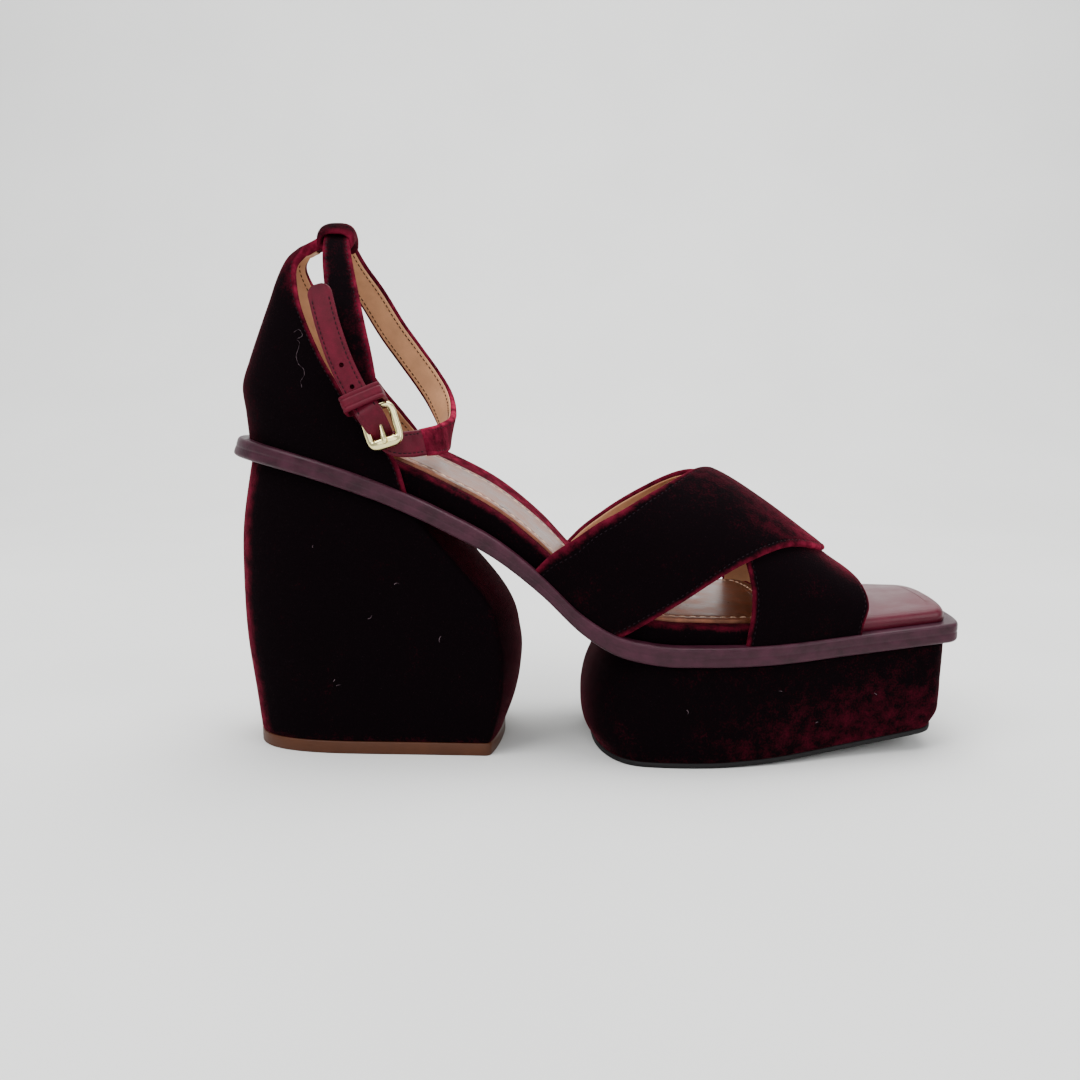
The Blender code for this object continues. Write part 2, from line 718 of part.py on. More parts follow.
def make_strap_loop():
    """The tunnel that the ankle strap passes through: an oval ring, bent as the strap in it is."""
    row = STRAP.at(7)
    middle = Vector((place_of(row["along"]), 0.0, row["height"] * STRAP_TOP))
    long_half = 0.5 * row["width"] * STRAP_WIDTH + GAP + TUNNEL_SLACK
    short_half = 0.5 * STRAP_THICKNESS + GAP + TUNNEL_SLACK
    shares = (-1.0, -0.5, 0.0, 0.5, 1.0)
    rings = []
    for across, up in squared_ring(20, 0.45):
        inner = Vector((across * long_half, 0.0, up * short_half))
        outer = Vector((across * (long_half + LOOP_WALL), 0.0, up * (short_half + LOOP_WALL)))
        bends = [Vector((0.0, 0.5 * share * LOOP_WIDTH, -LOOP_BEND * share ** 2)) for share in shares]
        ring = [middle + inner + bend for bend in bends]
        ring += [middle + outer + bend for bend in reversed(bends)]
        rings.append(ring)
    solid("strap_loop", *loft(rings, closed=True), "velvet")


# The vamp
def instep_point(x, turn):
    """A point of the arch that the bands lie on, from the lateral rand (0) to the medial (1)."""
    row = INSTEP.at(x / LENGTH + 0.5)
    side = "lateral" if turn < 0.5 else "medial"
    half = board(x, side) * BALL_WIDTH - LEDGE - UPPER_THICKNESS
    angle = math.pi * min(max(turn, 0.0), 1.0)
    power = 2.0 / row["square"]
    across = -math.copysign(abs(math.cos(angle)) ** power, math.cos(angle))
    up = max(math.sin(angle), 0.0) ** power
    return Vector((x, across * half, rand_top(x) + CURVED_GAP + up * row["crown"] * INSTEP_RISE))


def make_band(name, rear, front, raised, sunk):
    """One band of the vamp, laid over the arch between its two edges.

    Where it is raised over the other band, its underside is sunk a little into that band.
    """
    turns = [0.5 - 0.5 * math.cos(math.pi * step / 30) for step in range(31)]
    grid = []
    heights = []
    for turn in turns:
        row = BANDS.at(turn)
        edges = np.linspace(place_of(row[rear]), place_of(row[front]), 7)
        grid.append([instep_point(x, turn) for x in edges])
        heights.append([row["raise"]] * len(edges))
    normals = grid_normals(grid)
    if normals[len(turns) // 2][3][2] < 0:
        normals = -normals
    normals[0] = (0.0, -1.0, 0.0)
    normals[-1] = (0.0, 1.0, 0.0)
    heights = np.array(heights)
    inner = moved(grid, normals, heights * (raised - sunk))
    outer = moved(grid, normals, heights * raised + UPPER_THICKNESS)
    return solid(name, *shell(outer, inner), "velvet")


def make_vamp():
    """The two crossing bands, joined where one lies on the other."""
    under = make_band("vamp", "under_rear", "under_front", 0.0, 0.0)
    over = make_band("over_band", "over_rear", "over_front", BAND_RAISE, 0.4 * UPPER_THICKNESS)
    over.hide_render = True
    over.display_type = "WIRE"
    join = under.modifiers.new("join", "BOOLEAN")
    join.operation = "UNION"
    join.object = over


# The ankle strap, its leather end, keeper and buckle
def strap_point(row):
    """The point that a strap's or a bar's row names."""
    x = place_of(row["along"])
    return Vector((x, row["across"] * BALL_WIDTH, row["height"] * STRAP_TOP))


def strap_middle(table, step):
    """Middle point of a strap, and the way it faces, at one step of its table."""
    row = table.at(step)
    outward = Vector((row["out_x"], row["out_y"], row["out_z"])).normalized()
    middle = strap_point(row)
    if "over" in row:
        stack = GAP + 0.5 * END_THICKNESS
        middle += outward * row["over"] * (0.5 * STRAP_THICKNESS + stack)
        middle -= outward * row["under"] * (BUCKLE_ROLLER + stack)
    return middle, outward


def strap_axes(table, step):
    """Middle point, way ahead, outward way and sideways way of a strap at one step of its table."""
    middle, outward = strap_middle(table, step)
    ahead = strap_middle(table, step + 0.05)[0] - strap_middle(table, step - 0.05)[0]
    ahead.normalize()
    outward = (outward - ahead * outward.dot(ahead)).normalized()
    return middle, ahead, outward, ahead.cross(outward)


def strap_ring(table, step, width, thickness, narrow=1.0):
    """The strap's section at one step: a flat bar with its edges rounded."""
    middle, _, outward, sideways = strap_axes(table, step)
    row = table.at(step)
    half = 0.5 * width * row["width"] * narrow
    thick = 0.5 * thickness * row.get("thick", 1.0)
    edge = min(0.4 * thickness, 0.8 * half)
    corners = (
        (-half, -thick + edge), (-half + edge, -thick), (half - edge, -thick), (half, -thick + edge),
        (half, thick - edge), (half - edge, thick), (-half + edge, thick), (-half, thick - edge),
    )
    return [middle + sideways * across + outward * out for across, out in corners]


def rod(name, start, end, radius, sides=12):
    """A round cutter between two points, left out of the sandal itself."""
    way = (end - start).normalized()
    across = way.orthogonal().normalized()
    up = way.cross(across)
    rings = []
    for point in (start, end):
        ring = []
        for corner in range(sides):
            angle = 2 * math.pi * corner / sides
            ring.append(point + (across * math.cos(angle) + up * math.sin(angle)) * radius)
        rings.append(ring)
    cutter = solid(name, *loft(rings), "pale_gold")
    cutter.hide_render = True
    cutter.display_type = "WIRE"
    return cutter


def cut(item, cutter):
    """Cuts one shape out of another."""
    modifier = item.modifiers.new(cutter.name, "BOOLEAN")
    modifier.operation = "DIFFERENCE"
    modifier.object = cutter


def buckle_axes():
    """Ends of the buckle, the way along the strap, the way across it and the outward way."""
    low = strap_point(BUCKLE.at(0))
    high = strap_point(BUCKLE.at(1))
    along = (high - low).normalized()
    outward = Vector((0.0, -1.0, 0.0))
    outward = (outward - along * outward.dot(along)).normalized()
    return low, high, along, along.cross(outward), outward


def make_ankle_strap():
    """The velvet strap, from the buckle's upper bar over the loop and round the ankle's front."""
    steps = np.linspace(0, STRAP.rows[-1][0], 54)
    rings = [strap_ring(STRAP, step, STRAP_WIDTH, STRAP_THICKNESS) for step in steps]
    strap = solid("ankle_strap", *loft(rings), "velvet")
    _, high, _, across, _ = buckle_axes()
    reach = across * STRAP_WIDTH
    cut(strap, rod("bar_channel", high - reach, high + reach, BUCKLE_BAR + GAP))


def make_strap_end():
    """The strap's leather end, with its round tip, its holes and a slot for the prong."""
    last = STRAP_END.rows[-1][0]
    rings = [strap_ring(STRAP_END, step, END_WIDTH, END_THICKNESS) for step in np.linspace(0, last, 34)]
    _, ahead, _, _ = strap_axes(STRAP_END, last - 0.05)
    for turn in TIP_TURNS:
        reach = TIP_LENGTH * math.sin(math.radians(turn))
        ring = strap_ring(STRAP_END, last, END_WIDTH, END_THICKNESS, math.cos(math.radians(turn)))
        rings.append([point + ahead * reach for point in ring])
    end = solid("strap_end", *loft(rings), "strap_leather")
    for number, step in enumerate(HOLE_STEPS):
        middle, _, outward, _ = strap_axes(STRAP_END, step)
        reach = outward * END_THICKNESS
        cut(end, rod(f"hole_{number}", middle - reach, middle + reach, 0.5 * HOLE_DIAMETER, 8))
    start, tip = prong_ends()
    cut(end, rod("prong_slot", start, tip, 0.5 * PRONG_WIDTH + GAP))


def prong_ends():
    """Where the prong starts, below the upper bar, and its tip, outside the lower bar."""
    low, high, along, _, outward = buckle_axes()
    start = high - along * (PRONG_SEAT * BUCKLE_BAR + 0.5 * PRONG_WIDTH + GAP)
    tip = low + outward * (BUCKLE_ROLLER + 0.5 * PRONG_WIDTH + GAP)
    return start, tip + (tip - start).normalized() * PRONG_TIP


def make_buckle():
    """The buckle's frame, with a thick lower bar, and its prong."""
    low, high, along, across, outward = buckle_axes()
    middle = 0.5 * (low + high)
    half_length = 0.5 * (high - low).length
    half_width = 0.5 * BUCKLE_WIDTH
    turns = squared_ring(32, 0.35)
    centres = [middle + across * side * half_width + along * up * half_length for side, up in turns]
    rings = []
    for step, centre in enumerate(centres):
        ahead = (centres[(step + 1) % len(centres)] - centres[step - 1]).normalized()
        inward = ahead.cross(outward)
        lowness = max(-(centre - middle).dot(along) / half_length, 0.0) ** 10
        radius = BUCKLE_BAR + (BUCKLE_ROLLER - BUCKLE_BAR) * lowness
        ring = []
        for corner in range(8):
            turn = 2 * math.pi * corner / 8
            ring.append(centre + (inward * math.cos(turn) + outward * math.sin(turn)) * radius)
        rings.append(ring)
    solid("buckle_frame", *loft(rings, closed=True), "pale_gold")

    start, tip = prong_ends()
    prong = rod("buckle_prong", start, tip, 0.5 * PRONG_WIDTH)
    prong.hide_render = False
    prong.display_type = "TEXTURED"


def make_keeper():
    """The leather band around strap and strap end."""
    middle, along, outward, across = strap_axes(STRAP, KEEPER_STEP)
    middle -= across * KEEPER_SHIFT
    thick = 0.5 * STRAP_THICKNESS * STRAP.at(KEEPER_STEP)["thick"]
    inside = -thick - 2 * GAP
    outside = thick + END_THICKNESS + 5 * GAP
    centre = 0.5 * (inside + outside)
    depth = 0.5 * (outside - inside)
    half = 0.5 * KEEPER_BAND
    rings = []
    for side, up in squared_ring(24, 0.3):
        inner = across * side * (0.5 * KEEPER_WIDTH - KEEPER_WALL) + outward * (centre + up * depth)
        outer = across * side * 0.5 * KEEPER_WIDTH + outward * (centre + up * (depth + KEEPER_WALL))
        corners = ((inner, -half), (outer, -half), (outer, half), (inner, half))
        rings.append([middle + point + along * shift for point, shift in corners])
    solid("keeper", *loft(rings, closed=True), "strap_leather")


def build():
    """Makes every piece of the sandal."""
    clear_scene()
    make_rand()
    make_footbed()
    make_toe_cover()
    make_sock()
    make_heel()
    make_platform()
    make_counter()
    make_strap_loop()
    make_vamp()
    make_ankle_strap()
    make_strap_end()
    make_keeper()
    make_buckle()


build()
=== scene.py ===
"""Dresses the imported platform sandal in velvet, leather, lining, stitching and metal.

Metres, +Z up, +X towards the toe and +Y towards the medial side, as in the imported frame.
Every piece repeats the shape that its solid has there, with the folds, edges and seams of the real one.
"""
import math
import random

import bmesh
import bpy
import numpy as np
from bpy.props import FloatProperty, FloatVectorProperty, PointerProperty
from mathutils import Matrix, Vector


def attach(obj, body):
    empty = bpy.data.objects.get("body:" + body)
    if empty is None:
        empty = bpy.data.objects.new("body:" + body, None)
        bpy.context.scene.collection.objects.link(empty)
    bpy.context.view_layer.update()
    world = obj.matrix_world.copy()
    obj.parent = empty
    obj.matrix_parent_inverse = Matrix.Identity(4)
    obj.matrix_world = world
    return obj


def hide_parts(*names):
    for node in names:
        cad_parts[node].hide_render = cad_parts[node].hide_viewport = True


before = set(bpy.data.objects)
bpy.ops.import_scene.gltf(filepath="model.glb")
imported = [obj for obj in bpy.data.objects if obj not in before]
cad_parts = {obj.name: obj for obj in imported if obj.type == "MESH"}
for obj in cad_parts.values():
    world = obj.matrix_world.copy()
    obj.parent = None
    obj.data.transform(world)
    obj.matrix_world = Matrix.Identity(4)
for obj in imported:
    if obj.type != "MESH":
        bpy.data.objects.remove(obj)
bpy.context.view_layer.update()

bl_info = {
    "name": "Platform Sandal",
    "version": (1, 0, 0),
    "blender": (4, 5, 0),
    "location": "3D View > Sidebar > Sandal",
    "description": "Dresses the packed platform sandal in its velvet, leather, stitching and metal",
    "category": "Object",
}

MM = 0.001

# The sandal's own sizes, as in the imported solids
LENGTH = 0.2518
BALL_WIDTH = 0.0910
HEEL_RISE = 0.1012
PLATFORM_RISE = 0.0352
RAND_THICKNESS = 0.0066
REAR_LEAN = 0.34
HEEL_ROUND = 0.052
TOE_ROUND = 0.0075
LEDGE = 0.0015
REAR_LEDGE = 0.0062
TOE_LEDGE = 0.0040
UPPER_THICKNESS = 0.0022
BAND_RAISE = 0.0020
FOOTBED_THICKNESS = 0.0104
ARCH_TILT = 0.0022
ARCH_LIP = 0.0022
TOE_COVER_START = 0.0665
TOE_COVER_CROWN = 0.0012
SOCK_THICKNESS = 0.0008
SOCK_MARGIN = 0.0046
COUNTER_RISE = 0.0620
INSTEP_RISE = 0.0560
TAP_THICKNESS = 0.0044
SOLE_THICKNESS = 0.0018
TOE_SPRING = 0.0080
SPRING_START = 0.0370
BLOCK_INSET = 0.0024
BREAST_BOW = 0.0070
STRAP_WIDTH = 0.0108
STRAP_THICKNESS = 0.0024
STRAP_TOP = 0.1748
END_WIDTH = 0.0080
END_THICKNESS = 0.0018
KEEPER_BAND = 0.0056
KEEPER_WALL = 0.0010
KEEPER_WIDTH = 0.0142
KEEPER_SHIFT = 0.0008
KEEPER_STEP = 0.78
BUCKLE_WIDTH = 0.0106
BUCKLE_BAR = 0.0012
BUCKLE_ROLLER = 0.0020
PRONG_WIDTH = 0.0016
PRONG_SEAT = 2.2
HOLE_DIAMETER = 0.0016
LOOP_WIDTH = 0.0120
LOOP_WALL = 0.0014
LOOP_BEND = 0.0029
LOOP_SLACK = 0.0005
GAP = 0.0003
CURVED_GAP = 0.00045

# Sizes of the soft parts that only the dressed sandal has
OVERLAP = 0.0001
FOOTBED_EDGE = 0.0024
PAD_EDGE = 0.0026
SOCK_ARCH_CUT = 0.0110
SOCK_THREAD_THICKNESS = 0.00055
UPPER_FOLD = 0.0010
LINING_FOLD = 0.0004
SEAM_DEPTH = 0.00013
SEAM_SPREAD = 0.00028
STITCH_SINK = 0.00024
BAND_STITCH_SINK = 0.00029
COUNTER_LINING_MARGIN = 0.0008
BAND_LINING_MARGIN = 0.0006
TAB_FOLD = 0.0007
TIP_LENGTH = 0.0034
LEATHER_SEAM = 0.0012

# Into how many steps the loop and the keeper are divided round
BAND_STEPS = 72


# Colours and sizes that a user would change
def linear(colour):
    """Turns an sRGB hex value into a linear colour."""
    channels = [int(colour[i:i + 2], 16) / 255 for i in (1, 3, 5)]
    return tuple(c / 12.92 if c <= 0.04045 else ((c + 0.055) / 1.055) ** 2.4 for c in channels)


def colour(name, description, default):
    """A colour property with its default as an sRGB hex value."""
    return FloatVectorProperty(
        name=name, description=description, subtype="COLOR", size=3, min=0.0, max=1.0, default=linear(default)
    )


def length(name, description, default):
    """A length property with its default in metres."""
    return FloatProperty(
        name=name, description=description, default=default, min=0.0, unit="LENGTH", subtype="DISTANCE", precision=5
    )


class SandalColours(bpy.types.PropertyGroup):
    """Colours of the sandal's finishes"""

    velvet_core: colour("Velvet core", "Velvet seen face on, down into the pile", "#060204")
    # The pile and rubbed colours also serve as painted highlights: the velvet takes them where its painted-sheen
    # attribute lights its edges, folds and turns.
    velvet_pile_and_faint_highlight: colour("Velvet pile", "Velvet where the pile leans", "#3C0614")
    velvet_highlight_and_rubbed: colour("Velvet rubbed", "Velvet where the pile is brushed up or rubbed", "#861E38")
    velvet_sheen: colour("Velvet sheen", "Light along the tips of the pile", "#A82C48")
    rand: colour("Rand leather", "Leather around the board", "#321420")
    toe: colour("Toe leather", "Leather over the toe end of the footbed", "#46081A")
    strap: colour("Strap leather", "Leather of the strap's end and keeper", "#4C061A")
    sock: colour("Sock leather", "Metallic leather under the foot", "#70432F")
    lining: colour("Lining leather", "Tan leather inside the upper", "#BC8A64")
    thread: colour("Thread", "Thread of the upper and the strap", "#10030A")
    sock_thread: colour("Sock thread", "Thread around the sock", "#C8A890")
    tap: colour("Heel tap", "Moulded top lift under the heel", "#44220E")
    sole: colour("Sole rubber", "Rubber under the platform", "#0A0809")
    gold: colour("Pale gold", "Plating of the buckle", "#E8DCA0")
    floor: colour("Floor", "Floor and backdrop", "#DEDEDC")


class SandalSizes(bpy.types.PropertyGroup):
    """Sizes of the sandal's sewing"""

    pitch: length("Stitch pitch", "Distance from one stitch to the next on the upper", 0.0018)
    thread: length("Thread thickness", "Thickness of the upper's thread", 0.00036)
    seam: length("Seam inset", "Distance of the upper's seams from its edges", 0.0017)
    sock_pitch: length("Sock stitch pitch", "Distance from one stitch to the next on the sock", 0.0034)
    sock_seam: length("Sock seam inset", "Distance of the sock's seam from its edge", 0.0034)
    lining: length("Lining thickness", "Thickness of the tan lining", 0.0005)


# Materials
def blank(name):
    """A new material of that name: its tree, its shader and the object coordinates of its patterns."""
    material = bpy.data.materials.new(name)
    material.use_nodes = True
    tree = material.node_tree
    return material, tree, tree.nodes["Principled BSDF"], node(tree, "ShaderNodeTexCoord").outputs["Object"]


def fill(made, inputs):
    """Fills a node's sockets: a number stays on the socket, a node's first output or a socket is linked to it."""
    for name, value in inputs.items():
        if isinstance(value, bpy.types.Node):
            value = value.outputs[0]
        if isinstance(value, bpy.types.NodeSocket):
            made.id_data.links.new(value, made.inputs[name])
        else:
            made.inputs[name].default_value = value


def node(tree, kind, inputs=None, stops=(), **settings):
    """Adds one node with its inputs, its settings and, for a ramp, its stops: places and linear colours."""
    made = tree.nodes.new(kind)
    for name, value in settings.items():
        setattr(made, name, value)
    fill(made, inputs or {})
    for _ in stops[2:]:
        made.color_ramp.elements.new(0.5)
    for number, (place, value) in enumerate(stops):
        made.color_ramp.elements[number].position = place
        made.color_ramp.elements[number].color = (*value, 1.0)
    return made


def pattern(place, millimetres, detail=2.0, roughness=0.5):
    """Inputs of a noise in object coordinates whose blotches have about that size."""
    return {"Vector": place, "Scale": per_size(millimetres), "Detail": detail, "Roughness": roughness}


def per_size(millimetres):
    """Scale of a pattern in object coordinates whose cells have that size."""
    return 1.0 / (millimetres * MM)


def shade(value, factor):
    """A colour made darker or lighter."""
    return tuple(min(channel * factor, 1.0) for channel in value)


def velvet():
    """Silk velvet, woven and cut to a short pile: almost black face on, crimson where the pile turns away, drawn
    partly by the shader's sheen and partly as highlights painted into its colour along edges, folds and turns.
    """
    colours = bpy.context.scene.sandal_colours
    material, tree, shader, place = blank("velvet_cut_pile")
    pile_and_painted_sheen = node(tree, "ShaderNodeAttribute", attribute_name="pile_and_painted_sheen").outputs["Fac"]
    # Brushed patches are about 14 mm wide and smudges 4 mm; the tufts are drawn at 0.7 mm to show at all
    patches = node(tree, "ShaderNodeTexNoise", pattern(place, 14.0, 4.0, 0.6))
    smudges = node(tree, "ShaderNodeTexNoise", pattern(place, 4.0, 4.0, 0.56))
    tufts = node(tree, "ShaderNodeTexNoise", pattern(place, 0.7, 3.0, 0.7))
    brushed = node(tree, "ShaderNodeMapRange", {
        "Value": smudges, "From Min": 0.34, "From Max": 0.66, "To Min": 0.40, "To Max": 1.40,
    })
    cloudy = node(tree, "ShaderNodeMapRange", {
        "Value": patches, "From Min": 0.50, "From Max": 0.74, "To Min": 0.0, "To Max": 0.04,
    })
    # The painted highlight from the attribute is made stronger and weaker in random smudges, and faint random clouds
    # of lighter pile are added
    sheen_and_pile_tone = node(tree, "ShaderNodeMath", {0: pile_and_painted_sheen, 1: brushed, 2: cloudy}, operation="MULTIPLY_ADD")
    fuzzy = node(tree, "ShaderNodeMath", {0: tufts, 1: 0.24, 2: sheen_and_pile_tone}, operation="MULTIPLY_ADD")
    # The ramp paints light into the base colour: near black where the value is low, dim crimson and then bright
    # crimson as painted highlight where it is high
    surface_colour = node(tree, "ShaderNodeValToRGB", {"Fac": fuzzy}, (
        (0.17, colours.velvet_core),
        (0.34, colours.velvet_pile_and_faint_highlight),
        (0.62, shade(colours.velvet_highlight_and_rubbed, 0.42)),
        (1.00, colours.velvet_highlight_and_rubbed),
    ))
    bump = node(tree, "ShaderNodeBump", {"Height": tufts, "Strength": 0.6, "Distance": 0.4 * MM})
    fill(shader, {
        "Base Color": surface_colour, "Normal": bump, "Roughness": 0.95, "Specular IOR Level": 0.03,
        "Sheen Weight": 0.30, "Sheen Roughness": 0.22, "Sheen Tint": (*colours.velvet_sheen, 1.0),
    })
    return material


def leather(name, base, grain, depth, roughness, contrast=0.25, metallic=0.0, patch=14.0, gloss=0.5):
    """Finished leather: cells of grain of that many millimetres, an uneven tone and an uneven polish; the tone is dye,
    and on the rand it also stands in for painted sheen, on the sock for painted dark reflections.
    """
    material, tree, shader, place = blank(name)
    cells = node(tree, "ShaderNodeTexVoronoi", {"Vector": place, "Scale": per_size(grain)}, feature="SMOOTH_F1")
    patches = node(tree, "ShaderNodeTexNoise", pattern(place, patch, 4.0, 0.6))
    pores = node(tree, "ShaderNodeTexNoise", pattern(place, grain * 0.6, 3.0, 0.6))
    stops = ((0.32, shade(base, 1.0 - contrast)), (0.68, shade(base, 1.0 + contrast)))
    surface_colour = node(tree, "ShaderNodeValToRGB", {"Fac": patches}, stops)
    polish = node(tree, "ShaderNodeMapRange", {
        "Value": patches, "From Min": 0.3, "From Max": 0.7, "To Min": roughness - 0.07, "To Max": roughness + 0.09,
    })
    height = node(tree, "ShaderNodeMath", {0: cells, 1: 0.6, 2: pores}, operation="MULTIPLY_ADD")
    bump = node(tree, "ShaderNodeBump", {"Height": height, "Strength": depth, "Distance": 0.12 * MM})
    fill(shader, {
        "Base Color": surface_colour, "Normal": bump, "Roughness": polish, "Metallic": metallic, "Specular IOR Level": gloss,
    })
    return material


def rand_leather():
    """Calf, wrapped and pressed round the board: satin, with an uneven tone that is partly dye and partly painted
    sheen patches.
    """
    base = bpy.context.scene.sandal_colours.rand
    return leather("calf_rand_pressed", base, 0.9, 0.45, 0.40, 0.38, patch=6.0, gloss=0.18)


def toe_leather():
    """Calf, stretched over foam at the toe: smooth and satin, with fine pores."""
    base = bpy.context.scene.sandal_colours.toe
    return leather("calf_toe_stretched", base, 0.9, 0.35, 0.36, 0.16, gloss=0.24)


def strap_leather():
    """Calf, cut and edge-painted for the strap's end: smooth and slightly mottled."""
    base = bpy.context.scene.sandal_colours.strap
    return leather("calf_strap_cut", base, 0.7, 0.35, 0.48, 0.28, patch=5.0, gloss=0.14)


def sock_leather():
    """Foiled goat leather: a soft metallic bronze, worn unevenly, with dark streaks of painted reflection in its
    uneven tone.
    """
    base = bpy.context.scene.sandal_colours.sock
    return leather("goat_sock_foiled", base, 1.1, 0.5, 0.34, 0.46, metallic=0.5, patch=7.0, gloss=0.4)


def lining_leather():
    """Undyed goat lining, buffed: a dry, even tan with fine pores."""
    base = bpy.context.scene.sandal_colours.lining
    return leather("goat_lining_buffed", base, 0.8, 0.4, 0.6, 0.14, patch=7.0, gloss=0.3)


def cord_thread(name, base):
    """Bonded polyester thread, twisted: dull, with a fine twist along it."""
    material, tree, shader, place = blank(name)
    twist = node(tree, "ShaderNodeTexNoise", pattern(place, 0.4, 1.0, 0.4))
    stops = ((0.35, shade(base, 0.7)), (0.65, shade(base, 1.25)))
    surface_colour = node(tree, "ShaderNodeValToRGB", {"Fac": twist}, stops)
    fill(shader, {"Base Color": surface_colour, "Roughness": 0.75, "Specular IOR Level": 0.15})
    return material


def upper_thread():
    """Burgundy thread of the upper."""
    return cord_thread("thread_upper_twisted", bpy.context.scene.sandal_colours.thread)


def sock_thread():
    """Pale thread of the sock."""
    return cord_thread("thread_sock_twisted", bpy.context.scene.sandal_colours.sock_thread)


def moulded(name, base, grit, roughness, depth):
    """A moulded or cast part with the fine grit of its mould on it."""
    material, tree, shader, place = blank(name)
    grain = node(tree, "ShaderNodeTexNoise", pattern(place, grit))
    wear = node(tree, "ShaderNodeTexNoise", pattern(place, 8.0, 4.0, 0.6))
    stops = ((0.3, shade(base, 0.85)), (0.7, shade(base, 1.12)))
    worn = node(tree, "ShaderNodeValToRGB", {"Fac": wear}, stops)
    bump = node(tree, "ShaderNodeBump", {"Height": grain, "Strength": depth, "Distance": 0.1 * MM})
    fill(shader, {"Base Color": worn, "Normal": bump, "Roughness": roughness, "Specular IOR Level": 0.25})
    return material


def tap_plastic():
    """Polyurethane top lift, moulded: an even tan brown with a satin side."""
    return moulded("polyurethane_tap_moulded", bpy.context.scene.sandal_colours.tap, 0.8, 0.48, 0.15)


def sole_rubber():
    """Rubber sheet, pressed and buffed at its edge: near black and dull."""
    return moulded("rubber_sole_pressed", bpy.context.scene.sandal_colours.sole, 0.6, 0.7, 0.4)


def pale_gold():
    """Zinc alloy, cast, polished and plated pale gold: mirror-like, with soft ripples of the polish."""
    material, tree, shader, place = blank("zinc_pale_gold_plated")
    ripple = node(tree, "ShaderNodeTexNoise", pattern(place, 2.2))
    base = bpy.context.scene.sandal_colours.gold
    plated = node(tree, "ShaderNodeValToRGB", {"Fac": ripple}, ((0.35, shade(base, 0.86)), (0.65, base)))
    bump = node(tree, "ShaderNodeBump", {"Height": ripple, "Strength": 0.25, "Distance": 0.1 * MM})
    fill(shader, {"Base Color": plated, "Normal": bump, "Metallic": 1.0, "Roughness": 0.20})
    return material


def lint():
    """Loose cotton lint: greyed and dull, and darker than it is, because its fibres are drawn thicker."""
    material, tree, shader, place = blank("lint_loose")
    spots = node(tree, "ShaderNodeTexNoise", pattern(place, 1.2, 1.0))
    stops = ((0.35, linear("#22161C")), (0.65, linear("#6A5A60")))
    greyed = node(tree, "ShaderNodeValToRGB", {"Fac": spots}, stops)
    fill(shader, {"Base Color": greyed, "Roughness": 0.9, "Specular IOR Level": 0.1})
    return material


def backdrop():
    """Matt seamless paper: pale and even."""
    material, tree, shader, place = blank("paper_seamless")
    clouds = node(tree, "ShaderNodeTexNoise", pattern(place, 160.0, 3.0))
    base = bpy.context.scene.sandal_colours.floor
    paper = node(tree, "ShaderNodeValToRGB", {"Fac": clouds}, ((0.3, shade(base, 0.95)), (0.7, base)))
    fill(shader, {"Base Color": paper, "Roughness": 0.85})
    return material


def finish(maker):
    """The material that a maker gives, made only once."""
    made = FINISHES.get(maker.__name__)
    if made is None:
        made = FINISHES[maker.__name__] = maker()
    return made


FINISHES = {}


# Tables of shape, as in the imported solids
class Table:
    """Rows of given shares under named columns, read as smooth curves along the first."""

    def __init__(self, names, rows):
        self.names = names
        self.rows = np.array(rows, dtype=float)
        self.slopes = np.gradient(self.rows, self.rows[:, 0], axis=0)

    def at(self, place):
        """Gives each column's values at one place or at an array of them, by name."""
        places = self.rows[:, 0]
        place = np.clip(np.asarray(place, dtype=float), places[0], places[-1])
        row = np.clip(np.searchsorted(places, place) - 1, 0, len(places) - 2)
        span = (places[row + 1] - places[row])[..., None]
        t = (place - places[row])[..., None] / span
        values = (
            self.rows[row] * (2 * t ** 3 - 3 * t ** 2 + 1)
            + self.slopes[row] * span * (t ** 3 - 2 * t ** 2 + t)
            + self.rows[row + 1] * (3 * t ** 2 - 2 * t ** 3)
            + self.slopes[row + 1] * span * (t ** 3 - t ** 2)
        )
        return {name: values[..., i] for i, name in enumerate(self.names)}


# The board: shares of LENGTH, of the drop from heel to ball, and of BALL_WIDTH on its two sides
BOARD = Table(
    ("along", "rise", "lateral", "medial", "footbed", "lip"),
    (
        (0.000, 1.000, 0.340, 0.319, 0.90, 0.1),
        (0.052, 0.967, 0.340, 0.319, 0.90, 0.2),
        (0.149, 0.877, 0.341, 0.320, 0.92, 0.5),
        (0.224, 0.779, 0.346, 0.320, 0.96, 0.8),
        (0.306, 0.636, 0.357, 0.314, 1.00, 1.0),
        (0.370, 0.503, 0.368, 0.303, 1.00, 1.0),
        (0.430, 0.326, 0.390, 0.298, 0.97, 0.9),
        (0.484, 0.136, 0.423, 0.312, 0.86, 0.7),
        (0.520, 0.056, 0.456, 0.335, 0.78, 0.5),
        (0.574, 0.008, 0.489, 0.385, 0.68, 0.3),
        (0.645, 0.000, 0.500, 0.448, 0.60, 0.1),
        (0.719, 0.000, 0.474, 0.493, 0.53, 0.0),
        (0.838, 0.018, 0.379, 0.452, 0.42, 0.0),
        (1.000, 0.056, 0.270, 0.282, 0.35, 0.0),
    ),
)

# The heel block by level: its rear and breast along the board, its width, squareness and bow
HEEL = Table(
    ("level", "rear", "breast", "width", "square", "bow"),
    (
        (0.00, 0.031, 0.360, 0.960, 3.2, 0.61),
        (0.14, 0.024, 0.369, 0.965, 3.0, 0.75),
        (0.35, 0.014, 0.376, 0.975, 2.8, 0.86),
        (0.57, 0.011, 0.372, 0.985, 2.6, 1.00),
        (0.77, 0.013, 0.353, 0.993, 2.4, 1.00),
        (0.89, 0.019, 0.312, 0.998, 2.2, 1.00),
        (1.00, 0.026, 0.270, 1.000, 2.1, 1.00),
    ),
)

